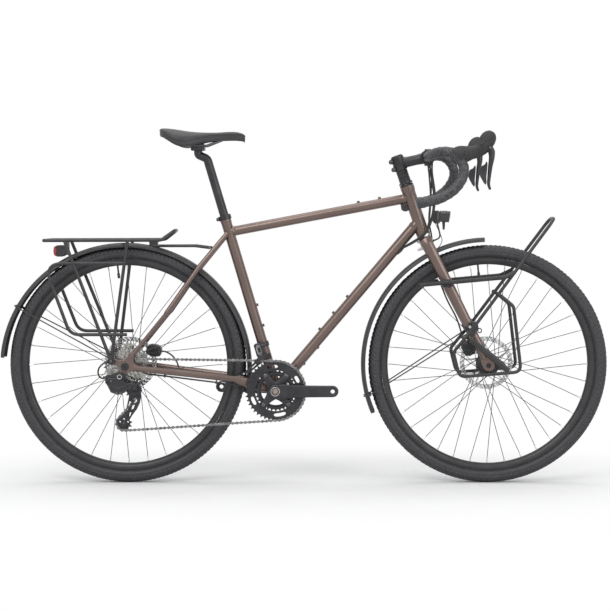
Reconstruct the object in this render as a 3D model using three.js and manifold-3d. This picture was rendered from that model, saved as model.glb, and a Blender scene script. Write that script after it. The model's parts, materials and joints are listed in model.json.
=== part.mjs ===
// Touring bicycle with drop bar, disc brakes, mudguards, lamps and two racks.
// Millimetres, +X forward, +Z up, -Y is the chain side. Parts are laid out from the rear hub, with the
// ground at zero height, and the finished group is shifted so that its origin is on the ground mid-length.

import * as THREE from 'three';
import { mergeVertices } from 'three/addons/utils/BufferGeometryUtils.js';
import Module from 'manifold-3d';

const wasm = await Module();
wasm.setup();

// Driving dimensions
const wheelbase = 1077.5;
const tyreRadius = 356;
const tyreWidth = 45;
const rimInnerRadius = 298;
const rimOuterRadius = 316.5;
const rimWidth = 25.6;
const bracketSetback = 445.3;
const bracketDrop = 74.8;
const seatTubeAngle = 73.6;
const seatTubeLength = 542;
const headAngle = 71;
const forkOffset = 54.4;
const rearHubWidth = 142;
const frontHubWidth = 100;
const bracketShellWidth = 68;
const chainPitch = 12.7;
const crankLength = 170;
const stemLength = 86;
const stemRise = 12;
const barWidth = 476;
const clearance = 0.3;

// Counts
const wheelSegments = 36;
const spokeCount = 32;
const chainringTeeth = 44;
const innerRingTeeth = 30;
const pulleyTeeth = 11;
const cassetteTeeth = [11, 13, 15, 17, 19, 21, 23, 25, 27, 30, 34];
const tubeSides = 10;
const rodSides = 5;

// Angles and directions
const degree = Math.PI / 180;
const mirrorSides = { right: -1, left: 1 };
const acrossAxis = new THREE.Vector3(0, 1, 0);
const forwardAxis = new THREE.Vector3(1, 0, 0);
const upAxis = new THREE.Vector3(0, 0, 1);

// Helpers for points, solids and meshes
const weldDistance = 1e-4;

function at(x, y, z) {
  return new THREE.Vector3(x, y, z);
}

function tidy(geometry) {
  const plain = geometry.clone();
  for (const name of Object.keys(plain.attributes)) {
    if (name !== 'position') plain.deleteAttribute(name);
  }
  const merged = mergeVertices(plain, weldDistance);
  const index = merged.index.array;
  const kept = [];
  for (let i = 0; i < index.length; i += 3) {
    const [a, b, c] = [index[i], index[i + 1], index[i + 2]];
    if (a !== b && b !== c && c !== a) kept.push(a, b, c);
  }
  merged.setIndex(kept);
  return merged;
}

function solidOf(geometry) {
  const merged = tidy(geometry);
  return new wasm.Manifold(new wasm.Mesh({
    numProp: 3,
    vertProperties: new Float32Array(merged.attributes.position.array),
    triVerts: new Uint32Array(merged.index.array),
  }));
}

function geometryOf(solid) {
  const mesh = solid.getMesh();
  const geometry = new THREE.BufferGeometry();
  geometry.setAttribute('position', new THREE.BufferAttribute(new Float32Array(mesh.vertProperties), 3));
  geometry.setIndex(Array.from(mesh.triVerts));
  return geometry;
}

function join(...geometries) {
  return geometryOf(geometries.map(solidOf).reduce((sum, next) => sum.add(next)));
}

function cut(geometry, ...tools) {
  return geometryOf(tools.map(solidOf).reduce((rest, tool) => rest.subtract(tool), solidOf(geometry)));
}

// A faceted bore of this radius clears a round shaft at every turn.
function boreFor(shaftRadius, sides = tubeSides) {
  return (shaftRadius + clearance) / Math.cos(Math.PI / sides);
}

// A closed solid swept along points; a radius is one number or one [across, upright] pair for each point.
function sweep(points, radii, sides = rodSides, across = acrossAxis, turn = Math.PI / sides) {
  const vertices = [];
  const index = [];
  let side = across.clone();
  points.forEach((point, i) => {
    const before = points[Math.max(i - 1, 0)];
    const after = points[Math.min(i + 1, points.length - 1)];
    const arriving = point.clone().sub(before).normalize();
    const leaving = after.clone().sub(point).normalize();
    const tangent = arriving.add(leaving).normalize();
    side = side.clone().addScaledVector(tangent, -side.dot(tangent)).normalize();
    const upright = tangent.clone().cross(side);
    const radius = Array.isArray(radii) ? radii[i] : radii;
    const [wide, tall] = Array.isArray(radius) ? radius : [radius, radius];
    for (let k = 0; k < sides; k += 1) {
      const angle = turn + (2 * Math.PI * k) / sides;
      const corner = point.clone()
        .addScaledVector(side, wide * Math.cos(angle))
        .addScaledVector(upright, tall * Math.sin(angle));
      vertices.push(corner.x, corner.y, corner.z);
    }
  });
  for (let i = 0; i + 1 < points.length; i += 1) {
    for (let k = 0; k < sides; k += 1) {
      const next = (k + 1) % sides;
      const [a, b] = [i * sides + k, i * sides + next];
      index.push(a, b, b + sides, a, b + sides, a + sides);
    }
  }
  const last = (points.length - 1) * sides;
  for (let k = 1; k + 1 < sides; k += 1) {
    index.push(0, k + 1, k, last, last + k, last + k + 1);
  }
  const geometry = new THREE.BufferGeometry();
  geometry.setAttribute('position', new THREE.Float32BufferAttribute(vertices, 3));
  geometry.setIndex(index);
  return geometry;
}

// A path through corners with each inner corner rounded by a short curve.
function rounded(corners, bend, steps = 3) {
  const path = [corners[0]];
  for (let i = 1; i + 1 < corners.length; i += 1) {
    const corner = corners[i];
    const back = corners[i - 1].clone().sub(corner);
    const ahead = corners[i + 1].clone().sub(corner);
    const half = back.angleTo(ahead) / 2;
    const trim = Math.min(bend / Math.tan(half), back.length() / 2, ahead.length() / 2);
    const curve = new THREE.QuadraticBezierCurve3(
      corner.clone().addScaledVector(back.normalize(), trim),
      corner,
      corner.clone().addScaledVector(ahead.normalize(), trim),
    );
    path.push(...curve.getPoints(steps));
  }
  path.push(corners[corners.length - 1]);
  return path;
}

// A turned ring or disc about the Y axis from a closed outline of [radius, y] pairs.
function turned(outline, segments = tubeSides) {
  const area = outline.reduce((sum, [x, y], i) => {
    const [nextX, nextY] = outline[(i + 1) % outline.length];
    return sum + x * nextY - nextX * y;
  }, 0);
  const ordered = area > 0 ? outline : [...outline].reverse();
  const points = [...ordered, ordered[0]].map(([x, y]) => new THREE.Vector2(x, y));
  return new THREE.LatheGeometry(points, segments);
}

function ring(outer, inner, low, high, segments = tubeSides) {
  return turned([[inner, low], [outer, low], [outer, high], [inner, high]], segments);
}

function disc(radius, low, high, segments = tubeSides) {
  return turned([[0, low], [radius, low], [radius, high], [0, high]], segments);
}

// A plate drawn in X and Z, centred on one Y, with holes given as lists of points.
function plate(outline, thickness, middle, holes = []) {
  const shape = new THREE.Shape(outline.map(([x, z]) => new THREE.Vector2(x, z)));
  for (const hole of holes) {
    shape.holes.push(new THREE.Path(hole.map(([x, z]) => new THREE.Vector2(x, z))));
  }
  const geometry = new THREE.ExtrudeGeometry(shape, { depth: thickness, bevelEnabled: false });
  geometry.rotateX(Math.PI / 2);
  geometry.translate(0, middle + thickness / 2, 0);
  return geometry;
}

function circlePoints(x, z, radius, sides, start = 0) {
  return Array.from({ length: sides }, (_, k) => {
    const angle = start + (2 * Math.PI * k) / sides;
    return [x + radius * Math.cos(angle), z + radius * Math.sin(angle)];
  });
}

function block(length, depth, height, centre) {
  const geometry = new THREE.BoxGeometry(length, depth, height);
  geometry.translate(centre.x, centre.y, centre.z);
  return geometry;
}

// Turns a solid made about the Y axis onto another axis through a point.
function onAxis(geometry, origin, direction) {
  geometry.applyQuaternion(new THREE.Quaternion().setFromUnitVectors(acrossAxis, direction));
  geometry.translate(origin.x, origin.y, origin.z);
  return geometry;
}

// A channel section of [outward, y] pairs carried round an arc in the XZ plane, closed at both ends.
function arcChannel(section, centre, radius, startAngle, endAngle, steps) {
  const vertices = [];
  const index = [];
  const count = section.length;
  for (let i = 0; i <= steps; i += 1) {
    const angle = startAngle + ((endAngle - startAngle) * i) / steps;
    for (const [outward, y] of section) {
      const reach = radius + outward;
      vertices.push(centre.x + reach * Math.cos(angle), y, centre.z + reach * Math.sin(angle));
    }
  }
  for (let i = 0; i < steps; i += 1) {
    for (let k = 0; k < count; k += 1) {
      const [a, b] = [i * count + k, i * count + (k + 1) % count];
      index.push(a, b, b + count, a, b + count, a + count);
    }
  }
  const faces = THREE.ShapeUtils.triangulateShape(section.map(([u, v]) => new THREE.Vector2(u, v)), []);
  const last = steps * count;
  for (const [a, b, c] of faces) {
    index.push(a, c, b, last + a, last + b, last + c);
  }
  const geometry = new THREE.BufferGeometry();
  geometry.setAttribute('position', new THREE.Float32BufferAttribute(vertices, 3));
  geometry.setIndex(index);
  return geometry;
}

// Paints, metals and plastics
function finish(color, roughness, metalness) {
  return new THREE.MeshStandardMaterial({ color, roughness, metalness });
}

const bronzePaint = finish(0x6e5a50, 0.42, 0.35);
const satinBlack = finish(0x1c1c1e, 0.45, 0.3);
const blackPlastic = finish(0x18181a, 0.6, 0);
const blackRubber = finish(0x1b1b1c, 0.85, 0);
const tyreRubber = finish(0x232325, 0.9, 0);
const barTape = finish(0x202022, 0.8, 0);
const coverLeather = finish(0x2a2a2d, 0.6, 0);
const brightSteel = finish(0xb9b9bb, 0.3, 0.9);
const chainSteel = finish(0x77787a, 0.4, 0.9);
const redLens = finish(0xa01818, 0.2, 0);

const bicycle = new THREE.Group();

function add(name, geometry, material, parent = bicycle) {
  const mesh = new THREE.Mesh(tidy(geometry), material);
  mesh.name = name;
  parent.add(mesh);
  return mesh;
}

function groupAt(point, parent = bicycle) {
  const group = new THREE.Group();
  group.position.copy(point);
  parent.add(group);
  return group;
}

// Main centres and axes
const rearHub = at(0, 0, tyreRadius);
const frontHub = at(wheelbase, 0, tyreRadius);
const bracket = at(bracketSetback, 0, tyreRadius - bracketDrop);
const seatDirection = at(-Math.cos(seatTubeAngle * degree), 0, Math.sin(seatTubeAngle * degree));
const headDirection = at(-Math.cos(headAngle * degree), 0, Math.sin(headAngle * degree));
const steeringFoot = frontHub.clone()
  .add(at(-Math.sin(headAngle * degree) * forkOffset, 0, -Math.cos(headAngle * degree) * forkOffset));

function onSeat(distance) {
  return bracket.clone().addScaledVector(seatDirection, distance);
}

function onHead(distance) {
  return steeringFoot.clone().addScaledVector(headDirection, distance);
}

// Steering column heights, measured up the steering axis from the point nearest the front hub
const steering = {
  steererRadius: 14.3,
  crownHeight: 408,
  crownHalf: 13,
  cupFlange: 7,
  headTubeLength: 152,
  spacerHeight: 42,
  stemClampHeight: 42,
};
const crownTop = steering.crownHeight + steering.crownHalf;
const headLow = crownTop + steering.cupFlange + 2 * clearance;
const headHigh = headLow + steering.headTubeLength;
const cupTop = headHigh + steering.cupFlange + clearance;
const spacerTop = cupTop + clearance + steering.spacerHeight;
const stemLow = spacerTop + clearance;
const stemHigh = stemLow + steering.stemClampHeight;

// Frame
const frameTube = {
  head: 19,
  headFlare: 21,
  headFlareLength: 12,
  headBore: 16.8,
  top: 14.3,
  down: 16,
  seat: 15.8,
  shell: 20,
  shellBore: 17.3,
  topBelowSeatEnd: 50.4,
  topBelowHeadEnd: 36,
  downAboveHeadStart: 42,
  boreDepth: 250,
};
const postRadius = 13.6;
const axleRadius = 6;

const stays = {
  chainWide: 7.5,
  chainTall: 14.5,
  chainTallRear: 9,
  seatRadius: 7.6,
  shellSpread: 24,
  bridgeRadius: 6,
};
const dropout = { thickness: 7, reach: 46, hangerRadius: 9, hangerBack: 14, hangerDown: 28.7, hangerHole: 4 };
const dropoutMiddle = rearHubWidth / 2 + dropout.thickness / 2;

// Outline of the rear dropout, as shares of its reach from the axle
const dropoutShares = [
  [-0.3, -0.26], [-0.13, -0.37], [0.22, -0.35], [0.78, -0.3], [0.84, 0.05], [0.52, 0.3], [0.62, 0.86],
  [0.3, 0.95], [0.08, 0.48], [-0.26, 0.4], [-0.74, 0.52], [-1, 0.4], [-1, 0.18], [-0.74, 0.08], [-0.35, 0.08],
];

function scaled(shares, width, height = width) {
  return shares.map(([x, z]) => [x * width, z * height]);
}

function moved(outline, x, z) {
  return outline.map(([u, v]) => [x + u, z + v]);
}

// Stay paths as [share of the way forward, share of the way up, share of the sideways spread]
const topOnSeat = seatTubeLength - frameTube.topBelowSeatEnd;
const seatStayTop = onSeat(topOnSeat);
const seatStayShares = [[0.055, 0.07, 1], [0.4, 0.395, 0.83], [0.71, 0.735, 0.53], [0.985, 0.99, 0.22]];
const chainStayShares = [[0.055, 0.06, 1], [0.74, 0.55, 0.56], [0.855, 0.78, 0.44], [0.985, 0.985, 0.3]];

function stayPath(shares, end, side) {
  return shares.map(([forward, up, spread]) => at(
    end.x * forward,
    side * dropoutMiddle * spread,
    rearHub.z + (end.z - rearHub.z) * up,
  ));
}

const bossSize = { radius: 3.6, height: 4.5, sides: 6 };
// Spacing of the screws that hold a bottle cage.
const bossPitch = 64;

// A threaded boss standing on a tube of the given radius.
function boss(start, end, share, tubeRadius, outward) {
  const foot = start.clone().lerp(end, share);
  const base = foot.clone().addScaledVector(outward, tubeRadius - bossSize.height / 2);
  const tip = foot.clone().addScaledVector(outward, tubeRadius + bossSize.height);
  return sweep([base, tip], bossSize.radius, bossSize.sides);
}

function perpendicular(start, end, sign) {
  const along = end.clone().sub(start).normalize();
  return at(-along.z * sign, 0, along.x * sign);
}

const topTubeEnds = [onSeat(topOnSeat), onHead(headHigh - frameTube.topBelowHeadEnd)];
const downTubeEnds = [bracket, onHead(headLow + frameTube.downAboveHeadStart)];
const seatTubeEnds = [bracket, onSeat(seatTubeLength)];
const chainBridge = { forwardShare: 0.865, upShare: 0.71, halfSpan: 34 };
const seatBridge = { share: 0.745 };

// Rows of bosses: where the first stands as a share of the tube, how many there are, and on which side.
const bossRows = [
  { ends: downTubeEnds, first: 0.337, count: 3, tubeRadius: frameTube.down, side: 1 },
  { ends: downTubeEnds, first: 0.17, count: 2, tubeRadius: frameTube.down, side: -1 },
  { ends: seatTubeEnds, first: 0.36, count: 2, tubeRadius: frameTube.seat, side: -1 },
  { ends: topTubeEnds, first: 0.717, count: 2, tubeRadius: frameTube.top, side: 1 },
];

function bossRow({ ends, first, count, tubeRadius, side }) {
  const pitchShare = bossPitch / ends[0].distanceTo(ends[1]);
  const outward = perpendicular(...ends, side);
  return Array.from({ length: count }, (_, place) => boss(...ends, first + place * pitchShare, tubeRadius, outward));
}

function hangerPlate() {
  const { reach, hangerRadius, hangerBack, hangerDown, thickness } = dropout;
  const eye = circlePoints(-hangerBack, rearHub.z - hangerDown, hangerRadius, tubeSides);
  const neckShare = 0.2;
  const neck = [[-hangerBack - hangerRadius, rearHub.z - hangerDown], [-hangerBack + hangerRadius,
    rearHub.z - hangerDown], [reach * neckShare, rearHub.z - reach * neckShare],
  [-reach * neckShare, rearHub.z - reach * neckShare]];
  return join(plate(eye, thickness, -dropoutMiddle), plate(neck, thickness, -dropoutMiddle));
}

function frameGeometry(extraBores) {
  const { head, headFlare, headFlareLength, headBore, shell, shellBore, boreDepth } = frameTube;
  const headRings = [headLow, headLow + headFlareLength, headLow + headFlareLength * 1.5,
    headHigh - headFlareLength * 1.5, headHigh - headFlareLength, headHigh].map(onHead);
  const pieces = [
    sweep(headRings, [headFlare, headFlare, head, head, headFlare, headFlare], tubeSides),
    sweep(topTubeEnds, frameTube.top, tubeSides),
    sweep(downTubeEnds, frameTube.down, tubeSides),
    sweep(seatTubeEnds, frameTube.seat, tubeSides),
    onAxis(disc(shell, -bracketShellWidth / 2, bracketShellWidth / 2), bracket, acrossAxis),
    ...bossRows.flatMap(bossRow),
    hangerPlate(),
  ];
  for (const side of Object.values(mirrorSides)) {
    const { chainWide, chainTall, chainTallRear, seatRadius } = stays;
    const chainRadii = [[chainWide, chainTallRear], [chainWide, chainTall], [chainWide, chainTall],
      [chainWide, chainTall]];
    pieces.push(sweep(stayPath(chainStayShares, bracket, side), chainRadii, tubeSides));
    pieces.push(sweep(stayPath(seatStayShares, seatStayTop, side), seatRadius, tubeSides));
    pieces.push(plate(moved(scaled(dropoutShares, dropout.reach), rearHub.x, rearHub.z), dropout.thickness,
      side * dropoutMiddle));
  }
  const chainBridgeAt = at(bracket.x * chainBridge.forwardShare, 0,
    rearHub.z + (bracket.z - rearHub.z) * chainBridge.upShare);
  pieces.push(onAxis(disc(stays.bridgeRadius, -chainBridge.halfSpan, chainBridge.halfSpan, rodSides),
    chainBridgeAt, acrossAxis));
  const [seatLeft, seatRight] = [1, -1].map((side) => {
    const path = stayPath(seatStayShares, seatStayTop, side);
    return new THREE.CatmullRomCurve3(path, false, 'catmullrom', 0).getPointAt(seatBridge.share);
  });
  pieces.push(sweep([seatLeft, seatRight], stays.bridgeRadius, rodSides, upAxis));
  const overrun = 1;
  const bores = [
    sweep([onSeat(seatTubeLength - boreDepth), onSeat(seatTubeLength + overrun)],
      boreFor(postRadius), tubeSides),
    sweep([onHead(headLow - overrun), onHead(headHigh + overrun)], headBore, tubeSides),
    onAxis(disc(shellBore, -bracketShellWidth / 2 - overrun, bracketShellWidth / 2 + overrun), bracket,
      acrossAxis),
    onAxis(disc(boreFor(axleRadius), -rearHubWidth, rearHubWidth), rearHub, acrossAxis),
    onAxis(disc(dropout.hangerHole, -rearHubWidth, 0, rodSides),
      at(-dropout.hangerBack, 0, rearHub.z - dropout.hangerDown), acrossAxis),
  ];
  return cut(join(...pieces), ...bores, ...extraBores);
}

// Bottom bracket: two outboard cups joined by a sleeve through the shell
const spindleRadius = 12;
const cup = { radius: 21.5, width: 10 };
const cupFace = bracketShellWidth / 2 + clearance;

function bottomBracketGeometry() {
  const bore = boreFor(spindleRadius);
  const sleeve = frameTube.shellBore * Math.cos(Math.PI / tubeSides) - clearance;
  return turned([
    [bore, -cupFace - cup.width], [cup.radius, -cupFace - cup.width], [cup.radius, -cupFace],
    [sleeve, -cupFace], [sleeve, cupFace], [cup.radius, cupFace], [cup.radius, cupFace + cup.width],
    [bore, cupFace + cup.width],
  ]);
}

add('bottom_bracket', bottomBracketGeometry(), satinBlack, groupAt(bracket));

// Headset cups, pressed into each end of the head tube
function headsetCup(outwardSign, seatHeight) {
  const skirt = 9;
  const { cupFlange, steererRadius } = steering;
  const bore = boreFor(steererRadius);
  const inside = frameTube.headBore * Math.cos(Math.PI / tubeSides) - clearance;
  const outline = [[bore, -skirt], [inside, -skirt], [inside, clearance], [frameTube.headFlare, clearance],
    [frameTube.headFlare, cupFlange], [bore, cupFlange]];
  const flipped = outline.map(([radius, height]) => [radius, height * outwardSign]);
  return onAxis(turned(flipped), onHead(seatHeight), headDirection);
}

add('headset_upper_cup', headsetCup(1, headHigh), satinBlack);
add('headset_lower_cup', headsetCup(-1, headLow), brightSteel);

// Seatpost with its setback head, saddle clamp, rails, shell and padded cover
const seatpost = { inserted: 150, headSetback: 27, headDrop: 12, exposed: 177, headRadius: 12.5 };
const saddleSize = { length: 252, width: 146, railRadius: 3.5, railSpread: 22, shellThick: 3 };
const postTop = onSeat(seatTubeLength + seatpost.exposed);
const postFoot = onSeat(seatTubeLength - seatpost.inserted);
const clampBase = at(postTop.x - seatpost.headSetback, 0, postTop.z + seatpost.headDrop * 2);

function seatpostGeometry() {
  const corners = [postFoot, postTop, at(clampBase.x, 0, clampBase.z - seatpost.headDrop), clampBase];
  const path = rounded(corners, seatpost.headSetback / 2, 2);
  const radii = path.map((_, i) => (i < 3 ? postRadius : seatpost.headRadius));
  return sweep(path, radii, tubeSides);
}

add('seatpost', seatpostGeometry(), satinBlack);

const railHeight = clampBase.z + clearance + 14;
const clampSize = { length: 40, lowerHeight: 12.5, gap: 2, upperHeight: 5, boltRadius: 3, boltSpread: 13 };

// Saddle stations along its length: [share forward, half width share, crown share, edge share] of the
// length, the half width, and the height above the rails
const saddleHeight = 52;
const saddleClampShare = 0.444;
const saddleTail = clampBase.x - saddleSize.length * saddleClampShare;
const saddleStationShares = [
  [0, 0.34, 1.04, 0.93], [0.03, 0.62, 1.07, 0.9], [0.1, 0.86, 1.06, 0.7], [0.2, 1, 1, 0.42],
  [0.3, 0.96, 0.92, 0.32], [0.4, 0.78, 0.86, 0.42], [0.5, 0.56, 0.83, 0.56], [0.6, 0.4, 0.82, 0.64],
  [0.7, 0.31, 0.83, 0.68], [0.8, 0.27, 0.86, 0.7], [0.9, 0.25, 0.85, 0.7], [0.97, 0.2, 0.76, 0.66],
  [1, 0.1, 0.66, 0.58],
];
const crownTurns = 7;

// A saddle layer between two drops below the crown line; the layers share one form.
function saddleLayer(topDrop, bottomDrop, widthShare) {
  const vertices = [];
  const index = [];
  const baseZ = railHeight - saddleHeight * 0.06;
  for (const [forward, half, crown, edge] of saddleStationShares) {
    const x = saddleTail + saddleSize.length * (0.5 + (forward - 0.5) * (0.9 + 0.1 * widthShare));
    const reach = (saddleSize.width / 2) * half * widthShare;
    const top = baseZ + saddleHeight * crown;
    const low = baseZ + saddleHeight * edge;
    const arc = (k, drop, narrow) => {
      const angle = (Math.PI * k) / (crownTurns - 1);
      const sag = Math.sin(angle) ** 0.75;
      const y = -Math.cos(angle) * (reach - narrow);
      vertices.push(x, y, low + (top - low) * sag - drop);
    };
    for (let k = 0; k < crownTurns; k += 1) arc(k, topDrop, 0);
    for (let k = crownTurns - 1; k >= 0; k -= 1) arc(k, bottomDrop, bottomDrop * 0.1);
  }
  const count = 2 * crownTurns;
  const rings = saddleStationShares.length;
  for (let i = 0; i + 1 < rings; i += 1) {
    for (let k = 0; k < count; k += 1) {
      const [a, b] = [i * count + k, i * count + ((k + 1) % count)];
      index.push(a, a + count, b + count, a, b + count, b);
    }
  }
  for (let k = 0; k + 1 < crownTurns; k += 1) {
    const far = count - 1 - k;
    for (const [ringStart, flip] of [[0, false], [(rings - 1) * count, true]]) {
      const quad = [ringStart + k, ringStart + k + 1, ringStart + far - 1, ringStart + far];
      if (flip) quad.reverse();
      index.push(quad[0], quad[1], quad[2], quad[0], quad[2], quad[3]);
    }
  }
  const geometry = new THREE.BufferGeometry();
  geometry.setAttribute('position', new THREE.Float32BufferAttribute(vertices, 3));
  geometry.setIndex(index);
  return geometry;
}

const coverThick = 14;
const shellGap = coverThick + clearance * 2;

// Rail corners from the tail: [forward, sideways, rise] as shares of the saddle's length, the rails'
// spread and the saddle's height
const railShares = [[0.12, 1.35, 0.532], [0.26, 1, 0], [0.55, 0.95, 0], [0.75, 0.4, 0.362]];

function railCorners(side) {
  const { railSpread, length } = saddleSize;
  return railShares.map(([forward, spread, rise]) => at(
    saddleTail + length * forward,
    side * railSpread * spread,
    railHeight + saddleHeight * rise,
  ));
}

function railsGeometry() {
  const [right, left] = [-1, 1].map(railCorners);
  const corners = [...right, ...left.reverse()];
  return sweep(rounded(corners, saddleSize.railSpread / 2, 2), saddleSize.railRadius, rodSides);
}

function saddleClampGeometry() {
  const { length, lowerHeight, gap, upperHeight, boltRadius, boltSpread } = clampSize;
  const depth = 2 * (saddleSize.railSpread + saddleSize.railRadius);
  const lower = block(length, depth, lowerHeight, at(clampBase.x, 0, clampBase.z + clearance + lowerHeight / 2));
  const upperFoot = clampBase.z + clearance + lowerHeight + gap;
  const upper = block(length, depth, upperHeight, at(clampBase.x, 0, upperFoot + upperHeight / 2));
  const bolts = [-1, 1].map((way) => {
    const x = clampBase.x + way * boltSpread;
    return sweep([at(x, 0, upperFoot - lowerHeight), at(x, 0, upperFoot + upperHeight)], boltRadius, rodSides);
  });
  const grooves = [-1, 1].map((side) => sweep(
    railCorners(side).slice(1, 3),
    boreFor(saddleSize.railRadius, rodSides),
    rodSides,
  ));
  return cut(join(lower, upper, ...bolts), ...grooves);
}

add('saddle_clamp', saddleClampGeometry(), satinBlack);
add('saddle_rails', railsGeometry(), satinBlack);
add('saddle_shell', saddleLayer(shellGap, shellGap + saddleSize.shellThick, 0.9), blackPlastic);
add('saddle_cover', saddleLayer(0, coverThick, 1), coverLeather);

// Wheels: tyre, rim, hub with its laced spokes, and brake rotor
const spokeRadius = 1.1;
const rotor = { radius: 80, band: 13, thickness: 1.8, arm: 7, carrier: 24, segments: 24, arms: 5 };
const hubSizes = {
  front: { flange: 27, flangeThick: 3, barrel: 15, right: -33, left: 21, spacing: frontHubWidth, rotor: 39.5 },
  rear: { flange: 29, flangeThick: 3, barrel: 17, right: -15.5, left: 33, spacing: rearHubWidth, rotor: 56 },
};

function tyreGeometry() {
  const bead = rimWidth / 2 - 2;
  const half = tyreWidth / 2;
  const height = tyreRadius - rimOuterRadius;
  const seat = rimOuterRadius + clearance;
  const sideShares = [[0, 0], [0.2, 0.75], [0.48, 1], [0.78, 0.78], [0.97, 0.34]];
  const side = sideShares.map(([up, out]) => [
    up === 0 ? seat : rimOuterRadius + height * up,
    up === 0 ? bead : half * out,
  ]);
  const profile = [...side, ...side.map(([radius, y]) => [radius, -y]).reverse()];
  profile[4][0] = tyreRadius;
  profile[5][0] = tyreRadius;
  return turned(profile, wheelSegments);
}

function rimGeometry() {
  const half = rimWidth / 2;
  const shoulder = rimInnerRadius + (rimOuterRadius - rimInnerRadius) * 0.4;
  const nose = half * 0.45;
  return turned([
    [rimInnerRadius, -nose], [shoulder, -half], [rimOuterRadius, -half],
    [rimOuterRadius, half], [shoulder, half], [rimInnerRadius, nose],
  ], wheelSegments);
}

function spoke(index, hub) {
  const side = index % 2 === 0 ? 'right' : 'left';
  const leading = index % 4 < 2 ? 1 : -1;
  const rimAngle = (2 * Math.PI * index) / spokeCount;
  const lacing = 62 * degree;
  const flangeAngle = rimAngle + leading * lacing;
  const flangeY = hub[side] + leading * hub.flangeThick * 0.5;
  const start = hub.flange - hub.flangeThick;
  const end = rimInnerRadius * Math.cos(Math.PI / wheelSegments) - clearance;
  return sweep([
    at(start * Math.cos(flangeAngle), flangeY, start * Math.sin(flangeAngle)),
    at(end * Math.cos(rimAngle), flangeY * 0.12, end * Math.sin(rimAngle)),
  ], spokeRadius, 3);
}

function hubGeometry(hub, rightEnd, rotorSeat) {
  const bore = boreFor(axleRadius);
  const { flange, flangeThick, barrel, right, left } = hub;
  const half = flangeThick / 2;
  const body = turned([
    [bore, rightEnd], [barrel, rightEnd], [barrel, right - half], [flange, right - half], [flange, right + half],
    [barrel, right + 4 * half], [barrel, left - 4 * half], [flange, left - half], [flange, left + half],
    [barrel, left + half], [barrel, rotorSeat], [bore, rotorSeat],
  ], tubeSides);
  const spokes = Array.from({ length: spokeCount }, (_, index) => spoke(index, hub));
  return join(body, ...spokes);
}

function rotorGeometry(rotorY) {
  const inner = rotor.radius - rotor.band;
  const armTurn = 26 * degree;
  const arms = Array.from({ length: rotor.arms }, (_, k) => {
    const from = (2 * Math.PI * k) / rotor.arms;
    const to = from + armTurn;
    return sweep([
      at(rotor.carrier * 0.9 * Math.cos(from), rotorY, rotor.carrier * 0.9 * Math.sin(from)),
      at((inner + 2) * Math.cos(to), rotorY, (inner + 2) * Math.sin(to)),
    ], [[rotor.thickness / Math.SQRT2, rotor.arm / 2], [rotor.thickness / Math.SQRT2, rotor.arm / 2]], 4);
  });
  const half = rotor.thickness / 2;
  const band = ring(rotor.radius, inner, rotorY - half, rotorY + half, rotor.segments);
  const carrier = ring(rotor.carrier, boreFor(axleRadius) + 4, rotorY - half, rotorY + half, tubeSides);
  return join(band, carrier, ...arms);
}

function wheel(name, centre, hub) {
  const group = groupAt(centre);
  const rotorY = hub.rotor;
  const rotorSeat = rotorY - rotor.thickness / 2 - clearance;
  const rightEnd = name === 'rear' ? hub.right - hub.flangeThick : -hub.spacing / 2 + 5;
  add(`${name}_tyre`, tyreGeometry(), tyreRubber, group);
  add(`${name}_rim`, rimGeometry(), satinBlack, group);
  add(`${name}_hub`, hubGeometry(hub, rightEnd, rotorSeat), satinBlack, group);
  add(`${name}_rotor`, rotorGeometry(rotorY), brightSteel, group);
}

wheel('rear', rearHub, hubSizes.rear);
wheel('front', frontHub, hubSizes.front);

// Through axles with their heads outside the right dropout
function axleGeometry(spacing, plateThickness) {
  const head = 9;
  const headWidth = 4;
  const face = spacing / 2 + plateThickness + clearance;
  return turned([
    [0, -face - headWidth], [head, -face - headWidth], [head, -face], [axleRadius, -face],
    [axleRadius, face], [0, face],
  ]);
}

const forkEnd = { thickness: 6, reach: 30 };
add('rear_axle', axleGeometry(rearHubWidth, dropout.thickness), satinBlack, groupAt(rearHub));
add('front_axle', axleGeometry(frontHubWidth, forkEnd.thickness), satinBlack, groupAt(frontHub));

// Fork: steerer, crown, blades and ends
const blade = {
  wideTop: 12, tallTop: 17, wideLow: 9.5, tallLow: 12.5, crownSpread: 12, shoulderSpread: 33, topSpread: 41.5,
  lowSpread: frontHubWidth / 2 + forkEnd.thickness / 2, footRise: 22, crownRadius: 19, shoulderDrop: 10,
  bladeDrop: 34,
};

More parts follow.
